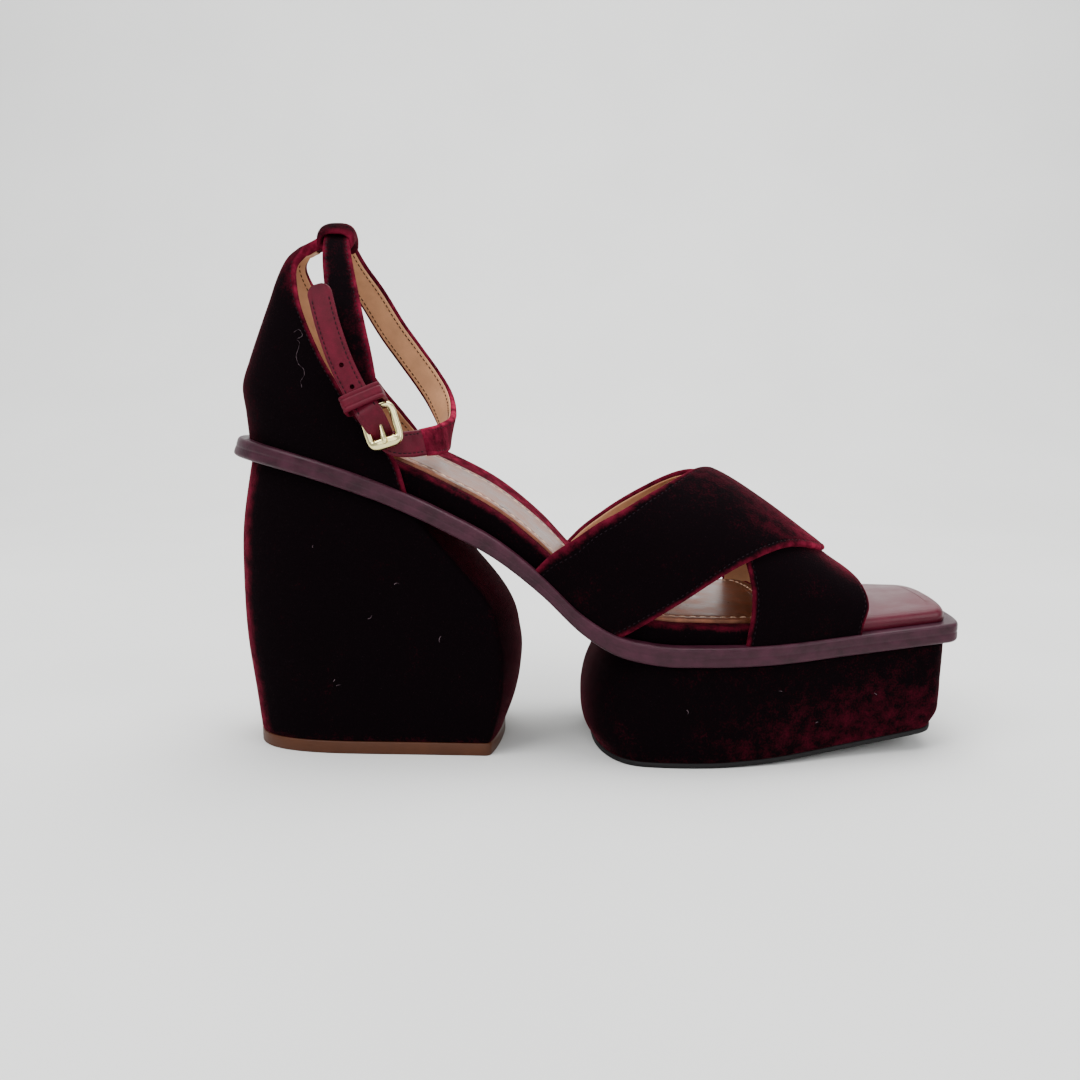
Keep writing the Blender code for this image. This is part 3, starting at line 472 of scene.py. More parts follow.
# The platform block by level
PLATFORM = Table(
    ("level", "rear", "toe", "width"),
    (
        (0.00, 0.500, 0.9740, 0.965),
        (0.10, 0.490, 0.9820, 0.975),
        (0.28, 0.486, 0.9845, 0.985),
        (0.55, 0.491, 0.9850, 0.995),
        (0.80, 0.504, 0.9860, 1.000),
        (1.00, 0.514, 0.9865, 1.000),
    ),
)

# The counter by level, from the rand to the end of its tab
COUNTER = Table(
    ("level", "rear", "rear_rise", "lateral", "lateral_rise", "medial", "medial_rise", "width", "bend"),
    (
        (0, 0.0236, 0.000, 0.2535, 0.000, 0.2695, 0.000, 1.000, 0.92),
        (1, 0.0205, 0.142, 0.2430, 0.129, 0.2600, 0.168, 1.000, 0.92),
        (2, 0.0172, 0.287, 0.2275, 0.210, 0.2475, 0.265, 0.975, 0.90),
        (3, 0.0285, 0.442, 0.1955, 0.294, 0.2270, 0.347, 0.915, 0.84),
        (4, 0.0428, 0.610, 0.1655, 0.434, 0.1955, 0.463, 0.830, 0.76),
        (5, 0.0567, 0.769, 0.1365, 0.587, 0.1575, 0.645, 0.715, 0.66),
        (6, 0.0694, 0.917, 0.1100, 0.787, 0.1235, 0.834, 0.570, 0.52),
        (7, 0.0828, 1.029, 0.0985, 0.975, 0.1040, 0.985, 0.400, 0.34),
        (8, 0.0985, 1.097, 0.1065, 1.068, 0.1065, 1.070, 0.270, 0.10),
        (9, 0.1098, 1.130, 0.1133, 1.118, 0.1133, 1.118, 0.230, 0.05),
        (10, 0.1190, 1.156, 0.1213, 1.148, 0.1213, 1.148, 0.225, 0.03),
    ),
)

# The arch that the vamp's bands lie on
INSTEP = Table(
    ("along", "crown", "square"),
    (
        (0.40, 1.200, 2.00),
        (0.54, 1.075, 2.10),
        (0.61, 0.965, 2.20),
        (0.67, 0.885, 2.30),
        (0.73, 0.715, 2.50),
        (0.79, 0.505, 2.80),
        (0.83, 0.360, 3.00),
        (0.87, 0.240, 3.20),
        (0.91, 0.150, 3.20),
    ),
)

# The vamp's two bands, from the lateral side of the rand over the foot to the medial side
BANDS = Table(
    ("turn", "over_rear", "over_front", "under_rear", "under_front", "raise"),
    (
        (0.00, 0.422, 0.535, 0.692, 0.852, 0.0),
        (0.05, 0.444, 0.585, 0.698, 0.857, 0.0),
        (0.10, 0.468, 0.635, 0.699, 0.861, 0.3),
        (0.17, 0.504, 0.695, 0.692, 0.862, 0.8),
        (0.25, 0.552, 0.745, 0.684, 0.860, 1.0),
        (0.35, 0.602, 0.793, 0.676, 0.857, 1.0),
        (0.50, 0.658, 0.820, 0.658, 0.842, 1.0),
        (0.65, 0.692, 0.834, 0.612, 0.800, 1.0),
        (0.75, 0.706, 0.842, 0.568, 0.754, 1.0),
        (0.83, 0.712, 0.848, 0.523, 0.706, 0.8),
        (0.90, 0.716, 0.852, 0.487, 0.648, 0.3),
        (0.95, 0.717, 0.855, 0.466, 0.602, 0.0),
        (1.00, 0.716, 0.857, 0.448, 0.553, 0.0),
    ),
)

# The ankle strap's middle line, from the buckle over the loop and round the ankle's front
STRAP = Table(
    ("step", "along", "across", "height", "out_x", "out_y", "out_z", "width", "thick"),
    (
        (0, 0.2156, -0.366, 0.6640, 0.05, -1.00, 0.05, 0.49, 1.9),
        (1, 0.2035, -0.348, 0.7000, 0.05, -1.00, 0.05, 0.84, 1.1),
        (2, 0.1920, -0.318, 0.7600, 0.05, -1.00, 0.10, 1.00, 1.0),
        (3, 0.1810, -0.272, 0.8220, 0.05, -0.95, 0.20, 1.00, 1.0),
        (4, 0.1705, -0.212, 0.8780, 0.05, -0.90, 0.35, 1.00, 1.0),
        (5, 0.1600, -0.132, 0.9430, 0.05, -0.82, 0.55, 0.92, 1.0),
        (6, 0.1548, -0.066, 0.9850, 0.02, -0.55, 0.83, 0.82, 1.0),
        (7, 0.1545, 0.000, 1.0020, 0.00, 0.00, 1.00, 0.80, 1.0),
        (8, 0.1556, 0.066, 0.9850, 0.02, 0.55, 0.83, 0.82, 1.0),
        (9, 0.1665, 0.134, 0.9430, 0.05, 0.82, 0.55, 0.92, 1.0),
        (10, 0.1880, 0.192, 0.8900, 0.10, 0.90, 0.30, 1.00, 1.0),
        (11, 0.2120, 0.236, 0.8280, 0.10, 0.95, 0.15, 1.00, 1.0),
        (12, 0.2355, 0.263, 0.7780, 0.10, 1.00, 0.10, 1.00, 1.0),
        (13, 0.2600, 0.273, 0.7280, 0.15, 1.00, 0.00, 1.00, 1.0),
        (14, 0.2790, 0.248, 0.6860, 0.35, 0.90, -0.15, 1.00, 1.0),
        (15, 0.2930, 0.170, 0.6460, 0.75, 0.60, -0.28, 1.00, 1.0),
        (16, 0.3010, 0.020, 0.6220, 0.98, 0.05, -0.20, 1.00, 1.0),
        (17, 0.2945, -0.130, 0.6110, 0.80, -0.60, 0.10, 0.95, 1.0),
        (18, 0.2742, -0.2625, 0.6080, 0.42, -0.87, 0.23, 0.86, 1.0),
    ),
)

# The strap's leather end, from the velvet through the buckle to its tip
STRAP_END = Table(
    ("step", "along", "across", "height", "out_x", "out_y", "out_z", "width", "over", "under"),
    (
        (0, 0.2730, -0.268, 0.6080, 0.40, -0.88, 0.22, 1.10, 0.0, 0.0),
        (1, 0.2600, -0.315, 0.6070, 0.25, -0.95, 0.15, 1.08, 0.0, 0.0),
        (2, 0.2440, -0.350, 0.6080, 0.10, -1.00, 0.08, 1.00, 0.0, 0.3),
        (3, 0.2295, -0.376, 0.6160, 0.00, -1.00, 0.00, 0.88, 0.0, 1.05),
        (4, 0.2220, -0.378, 0.6380, 0.00, -1.00, 0.25, 0.98, 0.0, 0.15),
        (5, 0.2135, -0.368, 0.6600, 0.00, -1.00, 0.20, 1.06, 1.60, 0.0),
        (6, 0.2050, -0.356, 0.6820, 0.00, -1.00, 0.05, 1.02, 1.40, 0.0),
        (7, 0.1920, -0.345, 0.7110, 0.00, -1.00, -0.05, 0.98, 1.30, 0.0),
        (8, 0.1745, -0.332, 0.7630, 0.00, -1.00, -0.08, 1.00, 1.20, 0.0),
        (9, 0.1590, -0.306, 0.8250, 0.00, -1.00, -0.10, 1.00, 1.20, 0.0),
        (10, 0.1480, -0.278, 0.8820, 0.00, -1.00, -0.10, 1.00, 1.20, 0.0),
    ),
)
HOLE_STEPS = (6.30, 7.07, 7.83)

# The buckle's lower and upper bars
BUCKLE = Table(
    ("bar", "along", "across", "height"),
    (
        (0, 0.2288, -0.379, 0.6110),
        (1, 0.2150, -0.363, 0.6740),
    ),
)


# Making pieces
WELD = 1e-6
SHARP_ANGLE = math.radians(50.0)


def closed_mesh(name, points, faces, weld=0.0):
    """A mesh whose faces all look outwards, with the points that lie within a weld of each other joined."""
    mesh = bpy.data.meshes.new(name)
    mesh.from_pydata(np.asarray(points, dtype=float).tolist(), [], faces)
    work = bmesh.new()
    work.from_mesh(mesh)
    if weld:
        bmesh.ops.remove_doubles(work, verts=work.verts, dist=weld)
    bmesh.ops.recalc_face_normals(work, faces=work.faces)
    work.to_mesh(mesh)
    work.free()
    if not mesh.polygons:
        raise RuntimeError(f"{name} came out empty")
    return mesh


def placed(name, data):
    """A new object in the scene."""
    item = bpy.data.objects.new(name, data)
    bpy.context.scene.collection.objects.link(item)
    return item


def piece(name, points, faces, maker, replaces=(), pile_and_painted_sheen=None, weld=0.0):
    """A piece of the sandal from points and faces, with its finish and, on velvet, its painted highlights and pile
    tone.
    """
    mesh = closed_mesh(name, points, faces, weld)
    mesh.shade_smooth()
    mesh.set_sharp_from_angle(angle=SHARP_ANGLE)
    if pile_and_painted_sheen is not None:
        places = np.array([vertex.co[:] for vertex in mesh.vertices])
        layer = mesh.attributes.new("pile_and_painted_sheen", "FLOAT", "POINT")
        layer.data.foreach_set("value", (pile_and_painted_sheen(places) if callable(pile_and_painted_sheen) else pile_and_painted_sheen).astype(np.float32))
    mesh.materials.append(finish(maker))
    item = placed(name, mesh)
    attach(item, "root")
    if replaces:
        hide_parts(*replaces)
    return item


def smooth_step(value, start, stop):
    """0 before start, 1 after stop, with a smooth step between them."""
    t = np.clip((value - start) / (stop - start), 0.0, 1.0)
    return t * t * (3.0 - 2.0 * t)


def hump(value, middle, width):
    """A soft hump of height 1 around a middle."""
    return np.exp(-((value - middle) / width) ** 2)


def unit(vectors):
    """Vectors brought to length 1."""
    return vectors / np.maximum(np.linalg.norm(vectors, axis=-1, keepdims=True), 1e-12)


def squared(value, power):
    """A sine or cosine, raised to a power with its sign kept, which makes a rounded square of a circle."""
    return np.copysign(np.abs(value) ** power, value)


def panel(grid, normals, middle, half):
    """Closed body around a grid of points, half thick on either side of its middle."""
    outer = grid + normals * (middle + half)[..., None]
    inner = grid + normals * (middle - half)[..., None]
    rows, columns = grid.shape[:2]
    points = np.concatenate([outer.reshape(-1, 3), inner.reshape(-1, 3)])
    index = np.arange(rows * columns).reshape(rows, columns)
    faces = []
    for layer in (0, rows * columns):
        quads = np.stack([index[:-1, :-1], index[:-1, 1:], index[1:, 1:], index[1:, :-1]], -1) + layer
        faces += quads.reshape(-1, 4).tolist()
    rim = list(index[0, :-1]) + list(index[:-1, -1]) + list(index[-1, :0:-1]) + list(index[:0:-1, 0])
    other = rows * columns
    for here, there in zip(rim, rim[1:] + rim[:1]):
        faces.append((int(here), int(there), int(there) + other, int(here) + other))
    return points, faces


def grid_normals(grid):
    """Unit normals at the points of a grid, from its neighbours."""
    return unit(np.cross(np.gradient(grid, axis=0), np.gradient(grid, axis=1)))


# Distances from an edge at which a panel has points, so that its fold and its seam show
EDGE_STEPS = np.array((0.0, 0.06, 0.18, 0.38, 0.65, 0.95, 1.25, 1.45, 1.6, 1.7, 1.8, 1.95, 2.2, 2.7)) * MM


def folded(distance, radius):
    """Share of a panel's thickness at a distance from its folded edge."""
    left = 1.0 - np.clip(distance / radius, 0.0, 1.0)
    return np.sqrt(1.0 - 0.985 * left ** 2)


def sewn(distance, seam, depth):
    """How far a seam pulls a panel in, at a distance from its edge."""
    return depth * hump(distance, seam, SEAM_SPREAD)


def loft(rings, closed):
    """Joins rings of points into a closed body; the ends are capped unless the loft closes on itself."""
    size = len(rings[0])
    count = len(rings)
    points = np.concatenate(rings)
    faces = []
    for span in range(count if closed else count - 1):
        first, second = span * size, (span + 1) % count * size
        for i in range(size):
            j = (i + 1) % size
            faces.append((first + i, first + j, second + j, second + i))
    if not closed:
        faces.append(tuple(range(size)))
        faces.append(tuple(range((count - 1) * size, count * size)))
    return points, faces


def along_path(path, pitch):
    """Where the middles of stitches lie along a path, counted in its points."""
    steps = np.linalg.norm(np.diff(path, axis=0), axis=1)
    run = np.concatenate([[0.0], np.cumsum(steps)])
    middles = np.arange(0.5 * pitch, run[-1] - 0.4 * pitch, pitch)
    return np.interp(middles, run, np.arange(len(path)))


def read_rows(rows, index):
    """Rows of an array read between its entries."""
    low = np.clip(np.floor(index).astype(int), 0, len(rows) - 2)
    share = (index - low)[:, None]
    return rows[low] * (1.0 - share) + rows[low + 1] * share


THREAD_SIDES = 6


def stitches(path, normals, pitch, thickness, cover=0.74):
    """Points and faces of a row of stitches: each is a thread's hump between its two holes."""
    index = along_path(path, pitch)
    places = read_rows(path, index)
    ahead = unit(read_rows(np.gradient(path, axis=0), index))
    up = read_rows(normals, index)
    up = unit(up - ahead * np.sum(ahead * up, axis=1, keepdims=True))
    side = np.cross(ahead, up)
    turns = 2 * math.pi * np.arange(THREAD_SIDES) / THREAD_SIDES
    rings = []
    for t in (-1.0, -0.86, -0.45, 0.0, 0.45, 0.86, 1.0):
        radius = 0.5 * thickness * math.sqrt(1.0 - 0.8 * t ** 4)
        lift = 0.28 * thickness - 0.75 * thickness * t ** 4
        length_share = np.full(THREAD_SIDES, 0.5 * cover * pitch * t)
        rings.append(np.stack([length_share, radius * np.cos(turns), lift + radius * np.sin(turns)], 1))
    template, one = loft(rings, False)
    points = (
        places[:, None]
        + ahead[:, None] * template[None, :, 0:1]
        + side[:, None] * template[None, :, 1:2]
        + up[:, None] * template[None, :, 2:3]
    ).reshape(-1, 3)
    faces = []
    for number in range(len(places)):
        faces += [tuple(corner + number * len(template) for corner in face) for face in one]
    return points, faces


def joined(parts):
    """Several sets of points and faces as one."""
    points, faces, start = [], [], 0
    for part_points, part_faces in parts:
        points.append(np.asarray(part_points))
        faces += [tuple(int(corner) + start for corner in face) for face in part_faces]
        start += len(part_points)
    return np.concatenate(points), faces


# The board and what is read from it
def place_of(along):
    """X of a share of the length, counted from the rear end."""
    return (along - 0.5) * LENGTH


def board(x, column):
    """One column of the board's table at x."""
    return BOARD.at(np.asarray(x) / LENGTH + 0.5)[column]


def rand_under(x):
    """Height of the rand's underside."""
    return PLATFORM_RISE + board(x, "rise") * (HEEL_RISE - PLATFORM_RISE)


def rand_top(x):
    """Height of the rand's top face."""
    return rand_under(x) + RAND_THICKNESS


def footbed_top(x):
    """Height of the footbed at mid-width."""
    return rand_top(x) + GAP + board(x, "footbed") * FOOTBED_THICKNESS


def sole_under(x):
    """Height of the platform's sole: flat on the floor, then rising to the toe."""
    share = np.maximum(np.asarray(x) - SPRING_START, 0.0) / (LENGTH / 2 - SPRING_START)
    return TOE_SPRING * share ** 1.6


def end_share(distance, reach, power):
    """Share of the full width at a distance in from a rounded end."""
    left = 1.0 - np.clip(distance / reach, 0.0, 1.0)
    return (1.0 - left ** power) ** (1.0 / power)


def end_steps(reach, power, count):
    """Distances in from a rounded end, evenly round its corner."""
    middle = 0.5 ** (1.0 / power)
    across = np.linspace(0.0, middle, count)
    along = np.linspace(middle, 0.0, count)[1:]
    return np.concatenate([reach * (1.0 - (1.0 - across ** power) ** (1.0 / power)), reach * (1.0 - along)])


class Outline:
    """A plan outline: the board's sides, moved in by an inset, between two rounded ends.

    Without a toe end it is cut there in a shallow arc of the height "bow", with a rounded corner.
    """

    def __init__(self, rear, toe, inset, rear_end, toe_end, width=1.0, bow=0.0):
        self.rear, self.toe, self.inset = rear, toe, inset
        self.rear_end, self.toe_end = rear_end, toe_end
        self.width, self.bow = width, bow

    def half(self, x, side):
        """Half-width at x, on the lateral or the medial side."""
        share = end_share(x - self.rear, *self.rear_end)
        if self.toe_end:
            share = share * end_share(self.toe - x, *self.toe_end)
        return (board(x, side) * BALL_WIDTH - self.inset) * share * self.width

    def halves(self, ends, sides, corner=0.0022):
        """Plan points of the lateral and of the medial side, from the rear end to the toe."""
        rear = self.rear + end_steps(*self.rear_end, ends)
        made = []
        for side, sign in (("lateral", -1.0), ("medial", 1.0)):
            if self.toe_end:
                toe = self.toe - end_steps(*self.toe_end, ends)[::-1]
                x = np.concatenate([rear, np.linspace(rear[-1], toe[0], sides)[1:-1], toe])
                y = self.half(x, side)
            else:
                full = float((board(self.toe, side) * BALL_WIDTH - self.inset) * self.width)
                x = np.concatenate([rear, np.linspace(rear[-1], self.toe - corner, sides)[1:-1]])
                y = self.half(x, side)
                start = np.array((self.toe - corner, self.half(self.toe - corner, side)))
                share = 1.0 - corner / full
                stop = np.array((self.toe + self.bow * (1.0 - share ** 2), share * full))
                turn = np.array((self.toe, full))
                t = np.linspace(0.0, 1.0, 8)[:, None]
                bend = start * (1 - t) ** 2 + turn * 2 * t * (1 - t) + stop * t ** 2
                shares = np.linspace(share, 0.0, 12)[1:]
                x = np.concatenate([x, bend[:, 0], self.toe + self.bow * (1.0 - shares ** 2)])
                y = np.concatenate([y, bend[:, 1], shares * full])
            made.append(np.stack([x, sign * y], 1))
        return made

    def ring(self, ends=12, sides=70):
        """The whole outline as one closed ring: up the lateral side and back down the medial side."""
        lateral, medial = self.halves(ends, sides)
        return np.concatenate([lateral, medial[::-1]])


def nested_outline(side_inset, end_inset):
    """An outline that keeps to the rand's own, set in at the sides and at both ends."""
    rear_end = (HEEL_ROUND - end_inset, 2.0)
    return Outline(-LENGTH / 2 + end_inset, LENGTH / 2 - end_inset, side_inset, rear_end, (TOE_ROUND, 4.0))


def inset_ring(ring, distance):
    """A closed ring in plan, moved inwards."""
    ahead = np.roll(ring, -1, axis=0) - np.roll(ring, 1, axis=0)
    inwards = unit(np.stack([-ahead[:, 1], ahead[:, 0]], 1))
    half = len(ring) // 2
    for end, way in ((0, 1.0), (-1, 1.0), (half - 1, -1.0), (half, -1.0)):
        inwards[end] = (way, 0.0)
    return ring + inwards * distance


def paired_body(rings, top=None, columns=1):
    """Points and faces of a body whose rings run up the lateral side and back down the medial side.

    Its two ends are closed in strips across; the upper one follows the height that "top" gives.
    """
    size = len(rings[0])
    half = size // 2
    points = [np.concatenate(rings)]
    faces = []
    for level in range(len(rings) - 1):
        low, high = level * size, (level + 1) * size
        for i in range(size):
            j = (i + 1) % size
            faces.append((low + i, low + j, high + j, high + i))
    count = size * len(rings)
    for start, ring, height in ((0, rings[0], None), (size * (len(rings) - 1), rings[-1], top)):
        previous = [start + i for i in range(half)]
        for column in range(1, columns + 1):
            if column == columns:
                current = [start + size - 1 - i for i in range(half)]
            else:
                share = column / columns
                line = ring[:half] * (1.0 - share) + ring[:half - 1:-1] * share
                if height:
                    line = np.column_stack([line[:, :2], height(line[:, 0], line[:, 1])])
                points.append(line)
                current = [count + i for i in range(half)]
                count += half
            for i in range(half - 1):
                faces.append((previous[i], previous[i + 1], current[i + 1], current[i]))
            previous = current
    return np.concatenate(points), faces


def lifted(ring, height):
    """A plan ring at the height that is given, or that a function gives, for its points."""
    level = height(ring[:, 0], ring[:, 1]) if callable(height) else height
    return np.column_stack([ring, np.broadcast_to(level, len(ring))])


def quarter(radius, count=6):
    """A rounded corner: how far in and how far from the face, from the face to the side."""
    turns = np.linspace(0.0, math.pi / 2, count)
    return [(radius * (1 - math.sin(turn)), radius * (1 - math.cos(turn))) for turn in turns]


# The board's pieces
def rand_rings():
    """Rings of the rand, from its underside round its grooved side to its top."""
    edge = 1.2 * MM
    profile = quarter(edge)
    for up in np.linspace(edge, RAND_THICKNESS - edge, 15)[1:-1]:
        groove = 0.16 * MM * float(hump(up, 0.50 * RAND_THICKNESS, 0.35 * MM))
        profile.append((groove, up))
    profile += [(inwards, RAND_THICKNESS - down) for inwards, down in reversed(quarter(edge))]
    outline = nested_outline(0.0, 0.0)
    ring = outline.ring(16, 150)
    rings = []
    for inwards, up in profile:
        plan = inset_ring(ring, inwards)
        lean = REAR_LEAN * np.maximum(1.0 - (plan[:, 0] - outline.rear) / HEEL_ROUND, 0.0) ** 2
        x = plan[:, 0] + lean * up
        rings.append(np.column_stack([x, plan[:, 1], rand_under(x) + up]))
    return rings


def bed_height(x, y):
    """Height of the footbed's top over a plan point, which rises to its medial edge along the arch."""
    whole = nested_outline(FOOTBED_INSET, FOOTBED_END_INSET)
    side = np.where(np.asarray(y) > 0, whole.half(x, "medial"), whole.half(x, "lateral"))
    share = np.clip(y / np.maximum(side, 1e-6), -1.0, 1.0)
    lip = np.where(share > 0, ARCH_LIP * share ** 4, 0.0)
    return footbed_top(x) + board(x, "lip") * (ARCH_TILT * share + lip)


FOOTBED_INSET = LEDGE + UPPER_THICKNESS + GAP + CURVED_GAP
FOOTBED_END_INSET = REAR_LEDGE + UPPER_THICKNESS + CURVED_GAP
# The corners where footbed and toe pad meet: how far they reach, and the power of their rounding
PAD_CORNER = (0.0030, 4.0)


class SANDAL_OT_board(bpy.types.Operator):
    """Makes the leather rand around the board"""

    bl_idname = "sandal.board"
    bl_label = "Rand"

    def execute(self, context):
        points, faces = paired_body(rand_rings(), lambda x, y: rand_top(x), 2)
        piece("rand_wrap", points, faces, rand_leather, ["rand"], weld=WELD)
        return {"FINISHED"}


class SANDAL_OT_footbed(bpy.types.Operator):
    """Makes the velvet footbed, the sock with its seam and the padded toe"""

    bl_idname = "sandal.footbed"
    bl_label = "Footbed, sock and toe"

    def execute(self, context):
        sizes = context.scene.sandal_sizes
        outline = nested_outline(FOOTBED_INSET - OVERLAP, FOOTBED_END_INSET - OVERLAP)
        outline.toe, outline.toe_end = TOE_COVER_START, PAD_CORNER
        ring = outline.ring(14, 130)
        side = lambda x, y: bed_height(x, y) - FOOTBED_EDGE - rand_top(x)
        rings = [lifted(inset_ring(ring, 0.4 * MM), lambda x, y: rand_top(x) - OVERLAP)]
        rings.append(lifted(ring, lambda x, y: rand_top(x) + 0.5 * MM))
        for share in (0.35, 0.7, 1.0):
            rings.append(lifted(ring, lambda x, y, s=share: rand_top(x) + s * side(x, y)))
        for inwards, down in reversed(quarter(FOOTBED_EDGE, 8)[:-1]):
            rings.append(lifted(inset_ring(ring, inwards), lambda x, y, d=down: bed_height(x, y) - d))
        points, faces = paired_body(rings, bed_height, 16)

        def pile_and_painted_sheen(places):
            """Its upper edge catches the light, most on its medial side along the arch."""
            near = bed_height(places[:, 0], places[:, 1]) - places[:, 2]
            medial = smooth_step(places[:, 1], 0.008, 0.018)
            return 0.02 + 0.17 * hump(near, 0.5 * MM, 1.0 * MM) + 0.34 * medial * hump(near, 0.0, 2.4 * MM)

        piece("footbed_velvet", points, faces, velvet, ["footbed"], pile_and_painted_sheen=pile_and_painted_sheen, weld=WELD)

        outline = nested_outline(FOOTBED_INSET + SOCK_MARGIN, FOOTBED_END_INSET + SOCK_MARGIN)
        outline.toe, outline.toe_end = TOE_COVER_START - 0.0020, (0.0090, 2.5)
        ring = outline.ring(14, 130)
        # Along the arch the velvet rises past the sock, whose medial edge is cut further in
        arch = smooth_step(ring[:, 0], -0.105, -0.060) * (1.0 - smooth_step(ring[:, 0], 0.000, 0.035))
        ring[:, 1] -= SOCK_ARCH_CUT * arch * np.clip(ring[:, 1] / 0.020, 0.0, 1.0)
        top = CURVED_GAP + SOCK_THICKNESS
        profile = (
            (0.0, -OVERLAP), (0.0, 0.75 * top), (0.12 * MM, 0.95 * top), (0.45 * MM, top), (1.6 * MM, 1.12 * top),
            (2.7 * MM, 1.08 * top), (sizes.sock_seam, 0.84 * top), (4.2 * MM, 1.08 * top), (5.6 * MM, 1.12 * top),
        )
        rings = [lifted(inset_ring(ring, inwards), lambda x, y, u=up: bed_height(x, y) + u) for inwards, up in profile]
        points, faces = paired_body(rings, lambda x, y: bed_height(x, y) + 1.05 * top, 14)
        piece("sock_lining", points, faces, sock_leather, ["sock"], weld=WELD)
        path = lifted(inset_ring(ring, sizes.sock_seam), lambda x, y: bed_height(x, y) + 0.86 * top)
        normals = np.tile((0.0, 0.0, 1.0), (len(path), 1))
        points, faces = stitches(path, normals, sizes.sock_pitch, SOCK_THREAD_THICKNESS, 0.82)
        piece("sock_stitches", points, faces, sock_thread)

        outline = nested_outline(FOOTBED_INSET, TOE_LEDGE)
        outline.rear, outline.rear_end = TOE_COVER_START + GAP, PAD_CORNER
        ring = outline.ring(14, 50)

        def crown(x, y):
            """Height of the pad, crowned over its foam."""
            half = np.where(y > 0, board(x, "medial"), board(x, "lateral")) * BALL_WIDTH - FOOTBED_INSET
            return footbed_top(x) + TOE_COVER_CROWN * (1.0 - np.clip(y / half, -1, 1) ** 2)

        rings = [lifted(inset_ring(ring, 0.3 * MM), lambda x, y: rand_top(x) - OVERLAP)]
        rings.append(lifted(inset_ring(ring, -OVERLAP), lambda x, y: rand_top(x) + 0.5 * MM))
        for inwards, down in reversed(quarter(PAD_EDGE, 8)):
            rings.append(lifted(inset_ring(ring, inwards), lambda x, y, d=down: crown(x, y) - d))
        rings.append(lifted(inset_ring(ring, 5.0 * MM), lambda x, y: crown(x, y) + 0.1 * MM))
        points, faces = paired_body(rings, crown, 16)
        pad = piece("toe_pad", points, faces, toe_leather, ["toe_cover"], weld=WELD)
        return {"FINISHED"}


# The blocks under the board
def heel_outline(level):
    """The heel block's plan at one level."""
    row = HEEL.at(level)
    return Outline(place_of(row["rear"]), place_of(row["breast"]), BLOCK_INSET,
                   (HEEL_ROUND, row["square"]), None, row["width"], row["bow"] * BREAST_BOW)


def platform_outline(level):
    """The platform block's plan at one level."""
    row = PLATFORM.at(level)
    return Outline(place_of(row["rear"]), place_of(row["toe"]), BLOCK_INSET, (0.018, 2.6), (0.0085, 3.2), row["width"])


# Points round a block's plan: in each corner of its ends, and along each side
HEEL_GRID = (12, 46)
PLATFORM_GRID = (14, 90)


def block_rings(outline_at, low, levels, grid):
    """Rings of a velvet-wrapped block, tucked in where it meets what is under and over it."""
    rings = []
    high = lambda x: rand_under(x) + 0.1 * MM
    base, head = outline_at(0.0).ring(*grid), outline_at(1.0).ring(*grid)
    for inwards, up in ((0.9, 0.0), (0.40, 0.12), (0.12, 0.4)):
        rings.append(lifted(inset_ring(base, inwards * MM), lambda x, y, u=up: low(x) + u * MM))
    for level in np.linspace(0, 1, levels):
        ring = outline_at(level).ring(*grid)
        rings.append(lifted(ring, lambda x, y, s=level: low(x) + 0.9 * MM + s * (high(x) - low(x) - 2.2 * MM)))
    for inwards, down in ((0.10, 0.9), (0.35, 0.4), (0.9, 0.0)):
        rings.append(lifted(inset_ring(head, inwards * MM), lambda x, y, d=down: high(x) - d * MM))
    return rings


